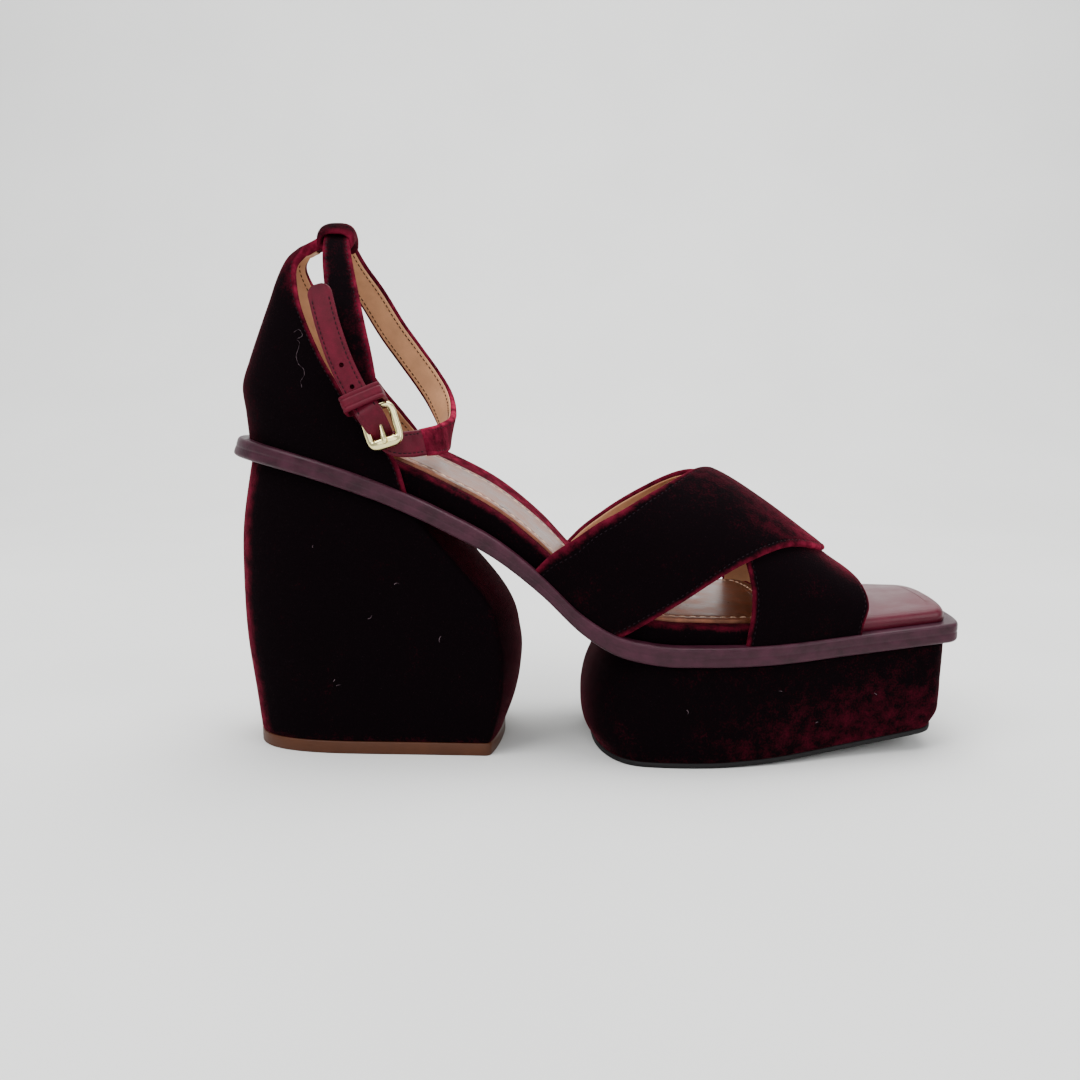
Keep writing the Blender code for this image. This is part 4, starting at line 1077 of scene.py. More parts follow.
class SANDAL_OT_blocks(bpy.types.Operator):
    """Makes the velvet-wrapped heel and platform, the heel's tap and the platform's sole"""

    bl_idname = "sandal.blocks"
    bl_label = "Heel and platform"

    def execute(self, context):
        def heel_painted_highlight(places):
            """Painted highlight: a lighter strip down the rear, where the velvet turns round the block, and along its
            edges at the breast and the foot.
            """
            x, _, z = places.T
            level = (z - TAP_THICKNESS) / (rand_under(x) - TAP_THICKNESS)
            row = HEEL.at(level)
            rear = 1.0 - smooth_step(x - place_of(row["rear"]), 1.5 * MM, 7.0 * MM)
            breast = smooth_step(x - place_of(row["breast"]), -2.6 * MM, 0.2 * MM)
            foot = hump(z, TAP_THICKNESS, 2.2 * MM)
            return 0.01 + 0.42 * rear + 0.03 * breast + 0.06 * foot

        points, faces = paired_body(block_rings(heel_outline, lambda x: TAP_THICKNESS, 44, HEEL_GRID))
        piece("heel_cover", points, faces, velvet, ["heel_block"], pile_and_painted_sheen=heel_painted_highlight, weld=WELD)

        base = heel_outline(0.0).ring(*HEEL_GRID)
        profile = ((0.35, 0.0), (0.1, 0.1), (0.0, 0.35), (0.0, 2.0), (0.0, 4.1), (0.1, 4.3), (0.4, 4.4))
        points, faces = paired_body([lifted(inset_ring(base, inwards * MM), up * MM) for inwards, up in profile])
        piece("heel_top_lift", points, faces, tap_plastic, ["heel_tap"], weld=WELD)

        def platform_pile_and_sheen(places):
            """The pile is brushed up in clouds low on the sides, most towards the toe, and a faint painted highlight
            runs along its foot.
            """
            x, _, z = places.T
            forward = smooth_step(x, 0.010, 0.095)
            lowness = 1.0 - smooth_step(z - sole_under(x), 0.004, 0.030)
            foot = hump(z - sole_under(x), SOLE_THICKNESS, 2.2 * MM)
            return 0.02 + 0.10 * forward * (0.25 + 0.75 * lowness) + 0.03 * foot

        low = lambda x: sole_under(x) + SOLE_THICKNESS
        points, faces = paired_body(block_rings(platform_outline, low, 26, PLATFORM_GRID))
        piece("platform_cover", points, faces, velvet, ["platform_block"], pile_and_painted_sheen=platform_pile_and_sheen, weld=WELD)

        base = platform_outline(0.0).ring(*PLATFORM_GRID)
        rings = []
        for inwards, up in ((0.5, 0.0), (0.1, 0.25), (0.0, 0.6), (0.0, 1.5), (0.3, 1.8)):
            rings.append(lifted(inset_ring(base, inwards * MM), lambda x, y, u=up: sole_under(x) + u * MM))
        points, faces = paired_body(rings)
        piece("platform_tread", points, faces, sole_rubber, ["platform_sole"], weld=WELD)
        return {"FINISHED"}


# The counter, its lining and the loop on its tab
def counter_points(level, turn):
    """Points of the counter's outside, from its lateral edge (-1) round the rear to its medial (1)."""
    row = COUNTER.at(level)
    medial = turn > 0
    rear = place_of(row["rear"])
    reach = place_of(np.where(medial, row["medial"], row["lateral"])) - rear
    share = np.abs(turn) ** 2
    x = rear + reach * share
    half = (np.where(medial, board(x, "medial"), board(x, "lateral")) * BALL_WIDTH - LEDGE) * row["width"]
    half = half * end_share(reach * share, row["bend"] * HEEL_ROUND, 2.0)
    rise = row["rear_rise"] + (np.where(medial, row["medial_rise"], row["lateral_rise"]) - row["rear_rise"]) * share
    z = rand_top(x) + rise * COUNTER_RISE
    return np.stack([x, np.copysign(half, turn), z], -1)


def counter_grid(levels, margin=0.0):
    """Points, outward normals and distances from the front edges of the counter's surface."""
    steps = margin + EDGE_STEPS
    edges = []
    for side in (-1.0, 1.0):
        at_edge = counter_points(levels, np.full(len(levels), side))
        inside = counter_points(levels, np.full(len(levels), side * 0.98))
        way = inside - at_edge
        run = np.linalg.norm(way, axis=1) / 0.02
        ahead = unit(np.gradient(at_edge, axis=0))
        cosine = np.abs(np.sum(unit(way) * ahead, axis=1))
        sine = np.sqrt(np.clip(1.0 - cosine ** 2, 0.15, 1.0))
        edges.append(np.clip(steps[None, :] / (run * sine)[:, None], 0.0, 0.62))
    lateral = -1.0 + edges[0]
    medial = 1.0 - edges[1][:, ::-1]
    middle = np.linspace(0.0, 1.0, 62)[None, 1:-1]
    turns = np.concatenate([lateral, lateral[:, -1:] + (medial[:, :1] - lateral[:, -1:]) * middle, medial], axis=1)
    turns = np.where(np.abs(turns) < 1e-6, 1e-6, turns)
    grid = counter_points(levels[:, None], turns)
    normals = grid_normals(grid)
    if normals[0, grid.shape[1] // 2, 0] > 0:
        normals = -normals
    far = np.full(grid.shape[1] - 2 * len(steps), 1.0)
    distance = np.concatenate([steps, far, steps[::-1]])
    return grid, normals, np.broadcast_to(distance, grid.shape[:2])


class SANDAL_OT_counter(bpy.types.Operator):
    """Makes the heel counter, its tan lining, its seams and the loop on its tab"""

    bl_idname = "sandal.counter"
    bl_label = "Counter and loop"

    def execute(self, context):
        sizes = context.scene.sandal_sizes
        half = 0.5 * UPPER_THICKNESS
        levels = np.concatenate([np.linspace(0, 7, 84), np.linspace(7.05, 10, 34)])
        grid, normals, distance = counter_grid(levels)
        normals[0, :, 2] = 0.0
        # The tab's end runs on into the wall of the loop
        ahead = 11.0 * (grid[-1] - grid[-2])
        grid = np.concatenate([grid, [grid[-1] + 0.5 * ahead, grid[-1] + ahead]])
        normals = np.concatenate([normals, normals[-1:], normals[-1:]])
        distance = np.concatenate([distance, distance[-1:], distance[-1:]])
        levels = np.concatenate([levels, [10.0, 10.0]])
        # Towards the loop the tab is folded double, so it grows thicker inwards
        doubled = TAB_FOLD * smooth_step(levels, 6.8, 9.0)[:, None]
        thick = (half + doubled) * folded(distance, UPPER_FOLD) - sewn(distance, sizes.seam, SEAM_DEPTH)
        points, faces = panel(grid, normals, np.broadcast_to(-half - doubled, distance.shape), thick)
        height = (levels / 7.0).clip(0, 1)[:, None]
        # Painted highlights along the folded edges and round the rear; the tab is also drawn lighter
        edge = 0.38 * hump(distance, 0.2 * MM, 1.1 * MM)
        back = 0.06 * (1.0 - smooth_step(grid[..., 0], -0.120, -0.108))
        pile_and_painted_sheen = 0.01 + edge + back + 0.14 * smooth_step(height, 0.75, 1.0)
        piece("counter_velvet", points, faces, velvet, ["counter"], pile_and_painted_sheen=np.tile(pile_and_painted_sheen.ravel(), 2))

        inside = np.linspace(0.0, 9.8, 100)
        grid, normals, distance = counter_grid(inside, COUNTER_LINING_MARGIN)
        lining = sizes.lining
        doubled = 2 * TAB_FOLD * smooth_step(inside, 6.8, 9.0)[:, None]
        middle = np.broadcast_to(-UPPER_THICKNESS - doubled - 0.15 * lining, distance.shape)
        thick = 0.5 * lining * folded(distance - COUNTER_LINING_MARGIN, LINING_FOLD)
        points, faces = panel(grid, normals, middle, thick)
        piece("counter_lining", points, faces, lining_leather)

        rows = []
        seam_levels = np.linspace(0.15, 7.4, 120)
        # One row lies in the velvet outside, one on the lining inside
        for margin, offset, way in (
            (sizes.seam, -STITCH_SINK, 1.0),
            (sizes.seam + 1.3 * MM, -UPPER_THICKNESS - 0.6 * lining, -1.0),
        ):
            grid, normals, _ = counter_grid(seam_levels, margin)
            for column in (0, -1):
                path = grid[:, column] + normals[:, column] * offset
                rows.append(stitches(path, normals[:, column] * way, sizes.pitch, sizes.thread))
        points, faces = joined(rows)
        piece("counter_stitches", points, faces, upper_thread)
        self.loop()
        return {"FINISHED"}

    def loop(self):
        """The folded velvet tunnel on the tab, bent as the strap in it is."""
        row = STRAP.at(7)
        middle = np.array((place_of(row["along"]) - 0.0005, 0.0, row["height"] * STRAP_TOP))
        long_half = 0.5 * row["width"] * STRAP_WIDTH + LOOP_SLACK
        short_half = 0.5 * STRAP_THICKNESS + 0.0006
        ends = np.array((1.0, 0.985, 0.94, 0.86, 0.74, 0.55, 0.3))
        shares = np.concatenate([-ends, [0.0], ends[::-1]])
        thick = 1.45 * LOOP_WALL * folded((1.0 - np.abs(shares)) * 0.5 * LOOP_WIDTH, 1.9 * MM)
        bends = np.stack([0.0 * shares, 0.5 * shares * LOOP_WIDTH, -LOOP_BEND * shares ** 2], 1)
        rings, painted_highlights = [], []
        for angle in 2 * math.pi * (np.arange(BAND_STEPS) + 0.5) / BAND_STEPS:
            side, up = math.cos(angle), math.sin(angle)
            way = np.array((squared(side, 0.66), 0.0, squared(up, 0.66)))
            # The folded velvet is soft: it puffs up over the strap and gathers a little at its ends
            puff = np.outer(1.0 + 0.10 * np.cos(5 * shares + 0.8 * side), (0.0, 0.0, 0.9 * MM * max(up, 0.0) ** 2))
            core = middle + way * (long_half + 0.4 * LOOP_WALL, 0.0, short_half + 0.5 * LOOP_WALL) + bends + puff
            reach = way[None, :] * (0.5 * thick)[:, None]
            rings.append(np.concatenate([core - reach, (core + reach)[::-1]]))
            # Painted highlight on the loop's side towards the toe and along its two edges
            light = 0.05 + 0.16 * max(side, 0.0) + 0.22 * np.abs(shares) ** 6
            painted_highlights.append(np.concatenate([light, light[::-1]]))
        points, faces = loft(rings, True)
        piece("loop_velvet", points, faces, velvet, ["strap_loop"], pile_and_painted_sheen=np.concatenate(painted_highlights))


# The vamp
def instep_points(x, turn):
    """Points of the arch that the bands lie on, from the lateral rand (0) to the medial (1)."""
    row = INSTEP.at(x / LENGTH + 0.5)
    side = np.where(turn < 0.5, board(x, "lateral"), board(x, "medial"))
    half = side * BALL_WIDTH - LEDGE - UPPER_THICKNESS
    angle = math.pi * np.clip(turn, 0.0, 1.0)
    power = 2.0 / row["square"]
    across = -squared(np.cos(angle), power)
    up = np.maximum(np.sin(angle), 0.0) ** power
    return np.stack([x, across * half, rand_top(x) + up * row["crown"] * INSTEP_RISE], -1)


def band_grid(turns, rear, front, margin=0.0):
    """Points, outward normals, distances from the edges and raise of a band's surface."""
    row = BANDS.at(turns)
    steps = margin + EDGE_STEPS
    edges = []
    for column in (rear, front):
        x = place_of(row[column])
        ahead = unit(np.gradient(instep_points(x, turns), axis=0))
        sine = np.sqrt(np.clip(1.0 - ahead[:, 0] ** 2, 0.2, 1.0))
        edges.append((x, steps[None, :] / sine[:, None]))
    first = edges[0][0][:, None] + edges[0][1]
    last = edges[1][0][:, None] - edges[1][1][:, ::-1]
    middle = np.linspace(0.0, 1.0, 34)[None, 1:-1]
    x = np.concatenate([first, first[:, -1:] + (last[:, :1] - first[:, -1:]) * middle, last], axis=1)
    grid = instep_points(x, np.broadcast_to(turns[:, None], x.shape))
    normals = grid_normals(grid)
    if normals[len(turns) // 2, x.shape[1] // 2, 2] < 0:
        normals = -normals
    distance = np.concatenate([steps, np.full(32, 1.0), steps[::-1]])
    return grid, normals, np.broadcast_to(distance, x.shape), np.broadcast_to(row["raise"][:, None], x.shape)


class SANDAL_OT_vamp(bpy.types.Operator):
    """Makes the two crossing velvet bands with their linings and seams"""

    bl_idname = "sandal.vamp"
    bl_label = "Vamp bands"

    def execute(self, context):
        sizes = context.scene.sandal_sizes
        half = 0.5 * UPPER_THICKNESS
        turns = 0.5 - 0.5 * np.cos(math.pi * np.linspace(0.0, 1.0, 150))
        rows = []
        for name, rear, front, raised in (
            ("band_over", "over_rear", "over_front", BAND_RAISE),
            ("band_under", "under_rear", "under_front", 0.0),
        ):
            grid, normals, distance, lift = band_grid(turns, rear, front)
            thick = half * folded(distance, UPPER_FOLD) - sewn(distance, sizes.seam, SEAM_DEPTH)
            points, faces = panel(grid, normals, half + lift * raised, thick)
            across = np.linspace(0.0, 1.0, grid.shape[1])[None, :]
            upper = smooth_step(turns, 0.22, 0.42)[:, None]
            # Painted highlights along the edges and towards the front edge over the top, and a faint painted sheen
            # over the whole top
            edge = 0.34 * hump(distance, 0.1 * MM, 0.8 * MM)
            front_light = 0.30 * smooth_step(across, 0.45, 0.95) * upper
            pile_and_painted_sheen = 0.02 + edge + front_light + 0.07 * upper
            piece(name + "_velvet", points, faces, velvet, ["vamp"], pile_and_painted_sheen=np.tile(pile_and_painted_sheen.ravel(), 2))

            grid, normals, distance, lift = band_grid(turns[2:-2], rear, front, BAND_LINING_MARGIN)
            middle = lift * raised - 0.1 * sizes.lining
            thick = 0.5 * sizes.lining * folded(distance - BAND_LINING_MARGIN, LINING_FOLD)
            points, faces = panel(grid, normals, middle, thick)
            piece(name + "_lining", points, faces, lining_leather)

            grid, normals, distance, lift = band_grid(turns, rear, front, sizes.seam)
            for column in (0, -1):
                top = (lift * raised + UPPER_THICKNESS - BAND_STITCH_SINK)[:, column, None]
                path = grid[:, column] + normals[:, column] * top
                rows.append(stitches(path, normals[:, column], sizes.pitch, sizes.thread))
        points, faces = joined(rows)
        piece("band_stitches", points, faces, upper_thread)
        return {"FINISHED"}


# The ankle strap, its leather end, keeper and buckle
def strap_places(table, steps):
    """Middle points of a strap, and the ways it faces, at steps of its table."""
    row = table.at(steps)
    outward = unit(np.stack([row["out_x"], row["out_y"], row["out_z"]], -1))
    middle = np.stack([place_of(row["along"]), row["across"] * BALL_WIDTH, row["height"] * STRAP_TOP], -1)
    if "over" in row:
        stack = GAP + 0.5 * END_THICKNESS
        middle = middle + outward * (row["over"] * (0.5 * STRAP_THICKNESS + stack))[..., None]
        middle = middle - outward * (row["under"] * (BUCKLE_ROLLER + stack))[..., None]
    return middle, outward


def strap_axes(table, steps):
    """Middle points, ways ahead, outward ways and sideways ways of a strap at steps of its table."""
    steps = np.asarray(steps, dtype=float)
    middle, outward = strap_places(table, steps)
    ahead = unit(strap_places(table, steps + 0.05)[0] - strap_places(table, steps - 0.05)[0])
    outward = unit(outward - ahead * np.sum(outward * ahead, axis=-1, keepdims=True))
    return middle, ahead, outward, np.cross(ahead, outward)


def strap_grid(table, steps, width, margin=0.0, narrow=None, count=16):
    """Points, outward normals and distances from the edges of a strap's middle surface."""
    middle, _, outward, sideways = strap_axes(table, steps)
    half = 0.5 * width * table.at(steps)["width"]
    if narrow is not None:
        half = half * narrow
    full = 0.5 * width
    near = EDGE_STEPS + margin
    near = near[near < 0.8 * full]
    inner = np.linspace(near[-1], 2 * full - near[-1], count)[1:-1]
    distance = np.concatenate([near, inner, (2 * full - near)[::-1]])
    across = (distance / full - 1.0)[None, :] * half[:, None]
    grid = middle[:, None] + sideways[:, None] * across[..., None]
    from_edge = np.minimum(distance, 2 * full - distance)
    normals = np.broadcast_to(outward[:, None], grid.shape)
    return grid, normals, np.broadcast_to(from_edge, grid.shape[:2])


def strap_line(table, steps, width, inset, out):
    """The two lines of a strap's seams: points that far in from its edges and that far out."""
    middle, _, outward, sideways = strap_axes(table, steps)
    half = 0.5 * width * table.at(steps)["width"]
    lines = []
    for sign in (-1.0, 1.0):
        across = sign * (half - inset * half / (0.5 * width))
        lines.append(middle + sideways * across[:, None] + outward * np.asarray(out).reshape(-1, 1))
    return lines, outward


def tube(path, radii, sides=14, up=(0.0, -1.0, 0.0)):
    """Rings of a tube along a path, with a radius at each of its points."""
    path = np.asarray(path, dtype=float)
    turns = 2 * math.pi * np.arange(sides) / sides
    rings = []
    for place, way, radius in zip(path, unit(np.gradient(path, axis=0)), radii):
        across = unit(np.cross(way, up))
        other = np.cross(across, way)
        rings.append(place + radius * (np.cos(turns)[:, None] * across + np.sin(turns)[:, None] * other))
    return rings


def cut_rods(item, rods):
    """Cuts round rods out of a piece: each has two ends and a radius."""
    cutters = []
    for number, (start, stop, radius) in enumerate(rods):
        points, faces = loft(tube([start, stop], [radius, radius], 20, up=(1.0, 0.3, 0.2)), False)
        name = f"cutter_{number}"
        cutter = placed(name, closed_mesh(name, points, faces))
        modifier = item.modifiers.new(cutter.name, "BOOLEAN")
        modifier.operation = "DIFFERENCE"
        modifier.object = cutter
        cutters.append(cutter)
    evaluated = item.evaluated_get(bpy.context.evaluated_depsgraph_get())
    mesh = bpy.data.meshes.new_from_object(evaluated)
    mesh.set_sharp_from_angle(angle=SHARP_ANGLE)
    item.modifiers.clear()
    item.data = mesh
    for cutter in cutters:
        bpy.data.objects.remove(cutter, do_unlink=True)


class SANDAL_OT_strap(bpy.types.Operator):
    """Makes the velvet ankle strap with its tan lining and seams"""

    bl_idname = "sandal.strap"
    bl_label = "Ankle strap"

    def execute(self, context):
        sizes = context.scene.sandal_sizes
        steps = np.linspace(0.0, 18.0, 300)
        grid, normals, distance = strap_grid(STRAP, steps, STRAP_WIDTH)
        thickness = 0.5 * STRAP_THICKNESS * STRAP.at(steps)["thick"][:, None]
        end = folded(np.minimum(steps, 18.0 - steps) * 3 * MM, 0.8 * MM)[:, None]
        half = thickness * folded(distance, 1.1 * MM) * end - sewn(distance, 1.45 * MM, 0.12 * MM)
        points, faces = panel(grid, normals, np.zeros(distance.shape), np.maximum(half, 0.1 * MM))
        # Painted highlights along the edges and over the front turn; near the buckle it is drawn a little lighter
        front = smooth_step(steps, 13.4, 15.2)[:, None]
        near = (1.0 - smooth_step(steps, 0.0, 6.0))[:, None]
        edge = 0.40 * hump(distance, 0.1 * MM, 1.4 * MM)
        pile_and_painted_sheen = 0.03 + edge + 0.36 * front + 0.04 * near
        piece("strap_velvet", points, faces, velvet, ["ankle_strap"], pile_and_painted_sheen=np.tile(pile_and_painted_sheen.ravel(), 2))

        inside = np.linspace(1.6, 17.6, 240)
        grid, normals, distance = strap_grid(STRAP, inside, STRAP_WIDTH - 2.0 * MM)
        half = 0.5 * sizes.lining * folded(distance, LINING_FOLD)
        middle = np.full(distance.shape, -0.5 * STRAP_THICKNESS - 0.10 * sizes.lining)
        points, faces = panel(grid, normals, middle, half)
        piece("strap_lining", points, faces, lining_leather)

        rows = []
        for side, out, inset, start, stop in (
            (1.0, 0.5 * STRAP_THICKNESS - STITCH_SINK, 1.45 * MM, 1.2, 17.7),
            (-1.0, -0.5 * STRAP_THICKNESS - 0.6 * sizes.lining, 2.1 * MM, 1.8, 17.4),
        ):
            run = np.linspace(start, stop, 260)
            lines, outward = strap_line(STRAP, run, STRAP_WIDTH, inset, out)
            rows += [stitches(line, outward * side, sizes.pitch, sizes.thread) for line in lines]
        points, faces = joined(rows)
        piece("strap_stitches", points, faces, upper_thread)
        return {"FINISHED"}


class SANDAL_OT_strap_end(bpy.types.Operator):
    """Makes the strap's stitched leather end with its holes, and the keeper around it"""

    bl_idname = "sandal.strap_end"
    bl_label = "Strap end and keeper"

    def execute(self, context):
        sizes = context.scene.sandal_sizes
        run = np.linspace(0.0, 10.0, 220)
        last_ahead = strap_axes(STRAP_END, np.array([10.0 - 0.05]))[1]
        turns = np.radians(np.linspace(0.0, 88.0, 18))[1:]
        steps = np.concatenate([run, np.full(len(turns), 10.0)])
        narrow = np.concatenate([np.ones(len(run)), np.cos(turns) ** 0.8])
        grid, normals, distance = strap_grid(STRAP_END, steps, END_WIDTH, narrow=narrow)
        grid[len(run):] += last_ahead[0] * (TIP_LENGTH * np.sin(turns))[:, None, None]
        # The leather thins towards the end of its rounded tip as it does towards its edges
        from_end = np.concatenate([np.full(len(run), 1.0), TIP_LENGTH * (1.0 - np.sin(turns))])[:, None]
        edge = np.minimum(distance * narrow[:, None], from_end + 0.05 * MM)
        half = 0.5 * END_THICKNESS * folded(edge, 0.45 * MM) - sewn(distance, LEATHER_SEAM, 0.10 * MM)
        points, faces = panel(grid, normals, np.zeros(distance.shape), np.maximum(half, 0.08 * MM))
        end = piece("strap_end_leather", points, faces, strap_leather, ["strap_end"])
        rods = []
        for step in HOLE_STEPS:
            middle, _, outward, _ = (axis[0] for axis in strap_axes(STRAP_END, np.array([step])))
            reach = outward * END_THICKNESS
            rods.append((middle - reach, middle + reach, 0.5 * HOLE_DIAMETER))
        cut_rods(end, rods)
        rows = []
        out = 0.5 * END_THICKNESS - 0.08 * MM
        for start, stop in ((0.2, 3.0), (5.3, 10.0)):
            lines, outward = strap_line(STRAP_END, np.linspace(start, stop, 160), END_WIDTH, LEATHER_SEAM, out)
            rows += [stitches(line, outward, 1.7 * MM, 0.85 * sizes.thread) for line in lines]
        points, faces = joined(rows)
        piece("strap_end_stitches", points, faces, upper_thread)
        self.keeper()
        return {"FINISHED"}

    def keeper(self):
        """The leather band round strap and strap end, with its two pressed lines."""
        middle, along, outward, across = (axis[0] for axis in strap_axes(STRAP, np.array([KEEPER_STEP])))
        middle = middle - across * KEEPER_SHIFT
        thick = 0.5 * STRAP_THICKNESS * float(STRAP.at(KEEPER_STEP)["thick"])
        inside, outside = -thick - 2 * GAP, thick + END_THICKNESS + 5 * GAP
        centre, depth = 0.5 * (inside + outside), 0.5 * (outside - inside)
        width = np.linspace(-0.5, 0.5, 29) * KEEPER_BAND
        from_edge = 0.5 * KEEPER_BAND - np.abs(width)
        wall = KEEPER_WALL * folded(from_edge, 0.45 * MM)
        wall -= 0.22 * MM * (hump(width, 1.35 * MM, 0.26 * MM) + hump(width, -1.35 * MM, 0.26 * MM))
        rings = []
        for angle in 2 * math.pi * (np.arange(BAND_STEPS) + 0.5) / BAND_STEPS:
            side, up = squared(math.cos(angle), 0.3), squared(math.sin(angle), 0.3)
            inner = across * side * (0.5 * KEEPER_WIDTH - KEEPER_WALL) + outward * (centre + up * depth)
            way = across * side * KEEPER_WALL + outward * up * KEEPER_WALL
            low = middle + inner + along * width[:, None]
            high = low + way * (wall / KEEPER_WALL)[:, None]
            rings.append(np.concatenate([low, high[::-1]]))
        points, faces = loft(rings, True)
        piece("keeper_leather", points, faces, strap_leather, ["keeper"])


class SANDAL_OT_buckle(bpy.types.Operator):
    """Makes the plated buckle with its thick lower bar and its prong"""

    bl_idname = "sandal.buckle"
    bl_label = "Buckle"

    def execute(self, context):
        low, high = buckle_bar(0), buckle_bar(1)
        along = unit(high - low)
        outward = np.array((0.0, -1.0, 0.0))
        outward = unit(outward - along * outward.dot(along))
        across = np.cross(along, outward)
        # Worn in, the frame has slid a little forward, so the leather hides its rear side bar
        low, high = low + across * 0.8 * MM, high + across * 0.8 * MM
        middle, half_length, half_width = 0.5 * (low + high), 0.5 * np.linalg.norm(high - low), 0.46 * BUCKLE_WIDTH
        angles = 2 * math.pi * (np.arange(120) + 0.5)[:, None] / 120
        side, up = squared(np.cos(angles), 0.35), squared(np.sin(angles), 0.35)
        centres = middle + across * side * half_width + along * up * half_length
        ahead = unit(np.roll(centres, -1, axis=0) - np.roll(centres, 1, axis=0))
        turns = 2 * math.pi * np.arange(20)[:, None] / 20
        # The casting is a little flattened on its face
        wide, tall = squared(np.cos(turns), 0.8), squared(np.sin(turns), 0.8)
        rings = []
        for centre, way in zip(centres, ahead):
            inward = np.cross(way, outward)
            lowness = max(-(centre - middle).dot(along) / half_length, 0.0) ** 8
            radius = BUCKLE_BAR + (BUCKLE_ROLLER - BUCKLE_BAR) * lowness
            rings.append(centre + radius * (wide * inward + tall * outward))
        points, faces = loft(rings, True)
        piece("buckle_frame_plated", points, faces, pale_gold, ["buckle_frame"])

        start = high - along * (PRONG_SEAT * BUCKLE_BAR + 0.5 * PRONG_WIDTH + GAP)
        tip = low + outward * (BUCKLE_ROLLER + 0.5 * PRONG_WIDTH + 0.1 * MM) + along * -0.0006
        t = np.linspace(0.0, 1.0, 24)
        path = start + (tip - start) * t[:, None] + outward * (0.35 * MM * np.sin(math.pi * t))[:, None]
        tapered = np.sqrt(1.0 - 0.93 * smooth_step(t, 0.9, 1.0) ** 2)
        radii = 0.5 * PRONG_WIDTH * (0.9 + 0.25 * hump(t, 0.8, 0.2)) * tapered
        points, faces = loft(tube(path, radii, 16), False)
        piece("buckle_prong_plated", points, faces, pale_gold, ["buckle_prong"])
        return {"FINISHED"}


def buckle_bar(bar):
    """Middle of the buckle's lower (0) or upper (1) bar."""
    row = BUCKLE.at(bar)
    return np.array((place_of(row["along"]), row["across"] * BALL_WIDTH, row["height"] * STRAP_TOP))


class SANDAL_OT_lint(bpy.types.Operator):
    """Scatters the few specks of lint and the fine hair that lie on the velvet"""

    bl_idname = "sandal.lint"
    bl_label = "Lint"

    def execute(self, context):
        parts = []
        # The hair lies on the counter, under each of its points
        counter = bpy.data.objects["counter_velvet"]
        hair = Table(("step", "x", "z"), HAIR).at(np.linspace(0, len(HAIR) - 1, 90))
        path = []
        for x, z in zip(hair["x"], hair["z"]):
            hit, place, _, _ = counter.ray_cast(Vector((x, -0.1, z)), Vector((0.0, 1.0, 0.0)))
            if not hit:
                raise RuntimeError("the hair misses the counter")
            path.append((x, place.y - LINT_STANDOFF, z))
        parts.append(loft(tube(path, np.full(90, HAIR_RADIUS), 5, up=(0.0, -1.0, 0.1)), False))
        dice = random.Random(7)
        t = np.linspace(-1.0, 1.0, 7)
        for x, z, block in SPECKS:
            level = (z - TAP_THICKNESS) / HEEL_BLOCK_HEIGHT
            outline = heel_outline(level) if block == "heel" else platform_outline(0.5)
            y = -float(outline.half(x, "lateral")) - LINT_STANDOFF
            turn = dice.uniform(0.0, math.pi)
            reach = dice.uniform(0.4, 1.2) * MM
            curl = dice.uniform(-0.5, 0.5) * t ** 2
            run = x + reach * (t * math.cos(turn) - curl * math.sin(turn))
            rise = z + reach * (t * math.sin(turn) + curl * math.cos(turn))
            parts.append(loft(tube(np.stack([run, np.full(7, y), rise], 1), np.full(7, SPECK_RADIUS), 5), False))
        points, faces = joined(parts)
        piece("velvet_lint", points, faces, lint)
        return {"FINISHED"}


LINT_STANDOFF = 0.00015
HAIR_RADIUS = 0.00005
SPECK_RADIUS = 0.00009
HEEL_BLOCK_HEIGHT = 0.085

# The hair's points: steps along it, X and Z
HAIR = (
    (0, -0.1000, 0.1424), (1, -0.0982, 0.1432), (2, -0.0970, 0.1412), (3, -0.0988, 0.1400), (4, -0.0978, 0.1390),
    (5, -0.0981, 0.1370), (6, -0.0987, 0.1345), (7, -0.0978, 0.1319), (8, -0.0961, 0.1304), (9, -0.0957, 0.1284),
    (10, -0.0968, 0.1263), (11, -0.0964, 0.1243),
)

# Where lint lies on the blocks: X, Z and the block
SPECKS = (
    (-0.088, 0.026, "heel"), (-0.0865, 0.0245, "heel"), (-0.066, 0.060, "heel"), (-0.094, 0.072, "heel"),
    (-0.052, 0.041, "heel"), (-0.075, 0.048, "heel"), (0.030, 0.020, "platform"), (0.060, 0.026, "platform"),
    (0.074, 0.014, "platform"), (0.095, 0.022, "platform"),
)


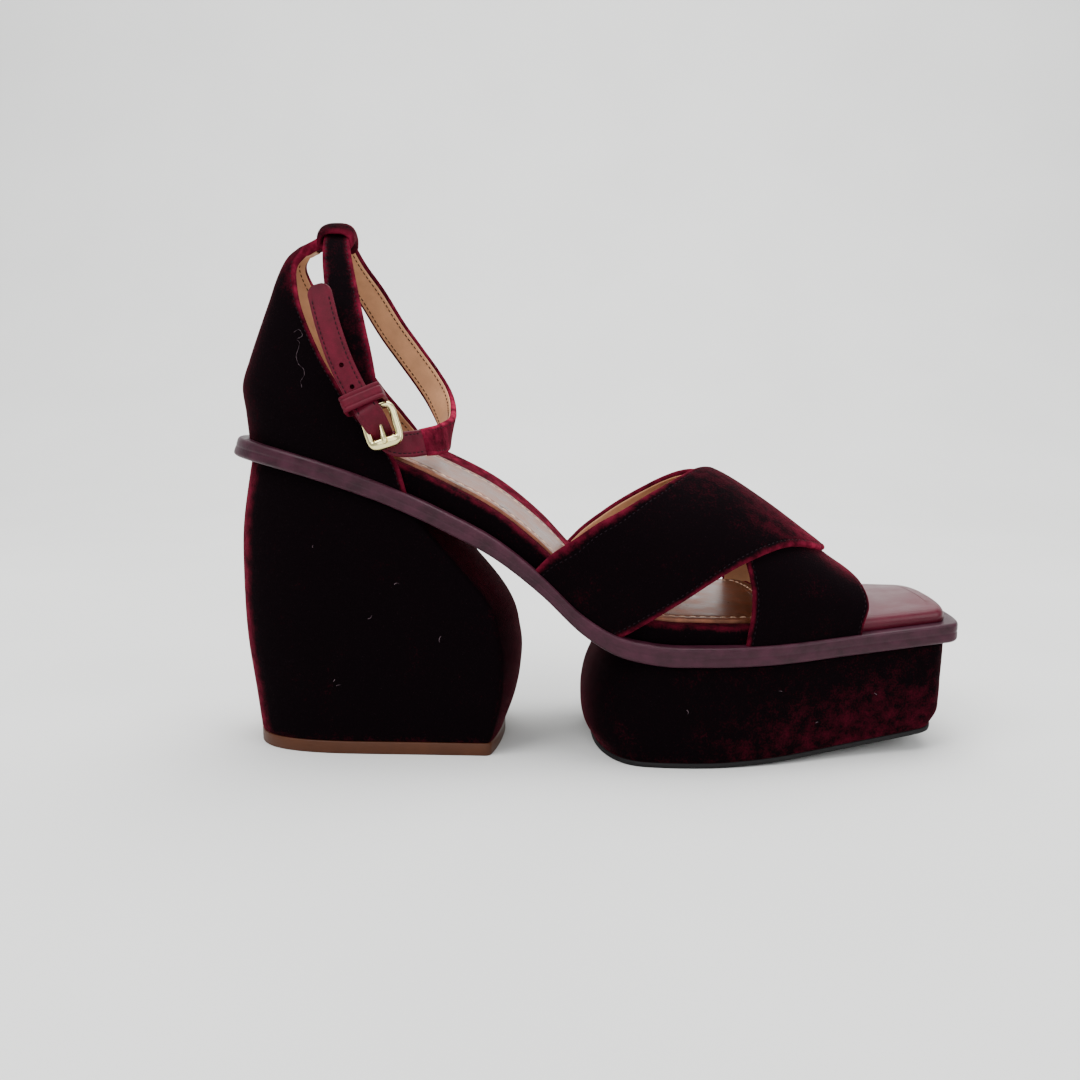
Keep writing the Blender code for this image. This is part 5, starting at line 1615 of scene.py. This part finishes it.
class SANDAL_OT_stage(bpy.types.Operator):
    """Makes the pale floor and backdrop, the soft light and the camera"""

    bl_idname = "sandal.stage"
    bl_label = "Stage, light and camera"

    def execute(self, context):
        profile = [(FLOOR_FRONT, 0.0), (FLOOR_BACK, 0.0)]
        for turn in np.linspace(0.0, math.pi / 2, 14)[1:]:
            profile.append((FLOOR_BACK + SWEEP_RADIUS * math.sin(turn), SWEEP_RADIUS * (1.0 - math.cos(turn))))
        profile.append((FLOOR_BACK + SWEEP_RADIUS, BACKDROP_TOP))
        points, faces = [], []
        for y, z in profile:
            points += [(-FLOOR_HALF_WIDTH, y, z), (FLOOR_HALF_WIDTH, y, z)]
        for i in range(len(profile) - 1):
            faces.append((2 * i, 2 * i + 1, 2 * i + 3, 2 * i + 2))
        mesh = bpy.data.meshes.new("floor_sweep")
        mesh.from_pydata(points, [], faces)
        mesh.shade_smooth()
        mesh.materials.append(finish(backdrop))
        placed("floor_sweep", mesh)

        for name, place, target, size, power in SOFTBOXES:
            light = bpy.data.lights.new(name, "AREA")
            light.shape = "DISK"
            light.size = size
            light.energy = power
            lamp = placed(name, light)
            lamp.location = place
            lamp.rotation_euler = (Vector(target) - Vector(place)).to_track_quat("-Z", "Y").to_euler()

        world = bpy.data.worlds.new("studio")
        world.use_nodes = True
        background = world.node_tree.nodes["Background"]
        fill(background, {"Color": (*STUDIO_LIGHT, 1.0), "Strength": STUDIO_STRENGTH})
        context.scene.world = world

        camera = bpy.data.cameras.new("camera")
        camera.lens = CAMERA_LENS
        camera.sensor_width = 36.0
        eye = placed("camera", camera)
        eye.location = CAMERA_PLACE
        eye.rotation_euler = (math.radians(90.0 - CAMERA_TILT), 0.0, 0.0)
        context.scene.camera = eye
        return {"FINISHED"}


# Where the photo was taken from: place, degrees below level and lens in millimetres
CAMERA_PLACE = (-0.01825, -0.3815, 0.130)
CAMERA_TILT = 8.95
CAMERA_LENS = 36.0

# The paper: the Y of its front and of the foot of its sweep, the sweep's radius, its top and half its width
FLOOR_FRONT = -1.6
FLOOR_BACK = 0.55
SWEEP_RADIUS = 0.6
BACKDROP_TOP = 2.6
FLOOR_HALF_WIDTH = 2.4

# The even light of the room
STUDIO_LIGHT = (0.93, 0.96, 1.0)
STUDIO_STRENGTH = 0.62

# The soft lights: name, place, what they point at, width and watts
SOFTBOXES = (
    ("key_softbox", (-0.75, -0.55, 1.25), (0.0, 0.0, 0.06), 1.0, 17.0),
    ("top_softbox", (0.25, 0.35, 1.5), (0.0, 0.0, 0.05), 1.3, 20.0),
    ("fill_softbox", (1.1, -0.7, 0.75), (0.0, 0.0, 0.06), 0.9, 8.0),
    ("front_softbox", (-0.1, -1.5, 0.7), (0.0, 0.0, 0.07), 1.2, 8.0),
    ("backdrop_softbox", (0.0, 0.25, 1.9), (0.0, 1.2, 0.45), 1.4, 24.0),
)


class SANDAL_PT_panel(bpy.types.Panel):
    """Lists the sandal's pieces, colours and sizes"""

    bl_idname = "SANDAL_PT_panel"
    bl_label = "Platform Sandal"
    bl_space_type = "VIEW_3D"
    bl_region_type = "UI"
    bl_category = "Sandal"

    def draw(self, context):
        layout = self.layout
        for operator in OPERATORS:
            layout.operator(operator.bl_idname)
        for group in (context.scene.sandal_colours, context.scene.sandal_sizes):
            box = layout.box()
            for name in group.__annotations__:
                box.prop(group, name)


OPERATORS = (
    SANDAL_OT_board,
    SANDAL_OT_footbed,
    SANDAL_OT_blocks,
    SANDAL_OT_counter,
    SANDAL_OT_vamp,
    SANDAL_OT_strap,
    SANDAL_OT_strap_end,
    SANDAL_OT_buckle,
    SANDAL_OT_lint,
    SANDAL_OT_stage,
)
CLASSES = (SandalColours, SandalSizes, *OPERATORS, SANDAL_PT_panel)


def register():
    """Registers the classes and their properties."""
    for item in CLASSES:
        bpy.utils.register_class(item)
    bpy.types.Scene.sandal_colours = PointerProperty(type=SandalColours)
    bpy.types.Scene.sandal_sizes = PointerProperty(type=SandalSizes)


def unregister():
    """Removes the classes and their properties."""
    del bpy.types.Scene.sandal_sizes
    del bpy.types.Scene.sandal_colours
    for item in reversed(CLASSES):
        bpy.utils.unregister_class(item)


def main():
    """Makes every piece and the stage."""
    register()
    bpy.ops.sandal.board()
    bpy.ops.sandal.footbed()
    bpy.ops.sandal.blocks()
    bpy.ops.sandal.counter()
    bpy.ops.sandal.vamp()
    bpy.ops.sandal.strap()
    bpy.ops.sandal.strap_end()
    bpy.ops.sandal.buckle()
    bpy.ops.sandal.lint()
    bpy.ops.sandal.stage()


if __name__ == "__main__":
    main()
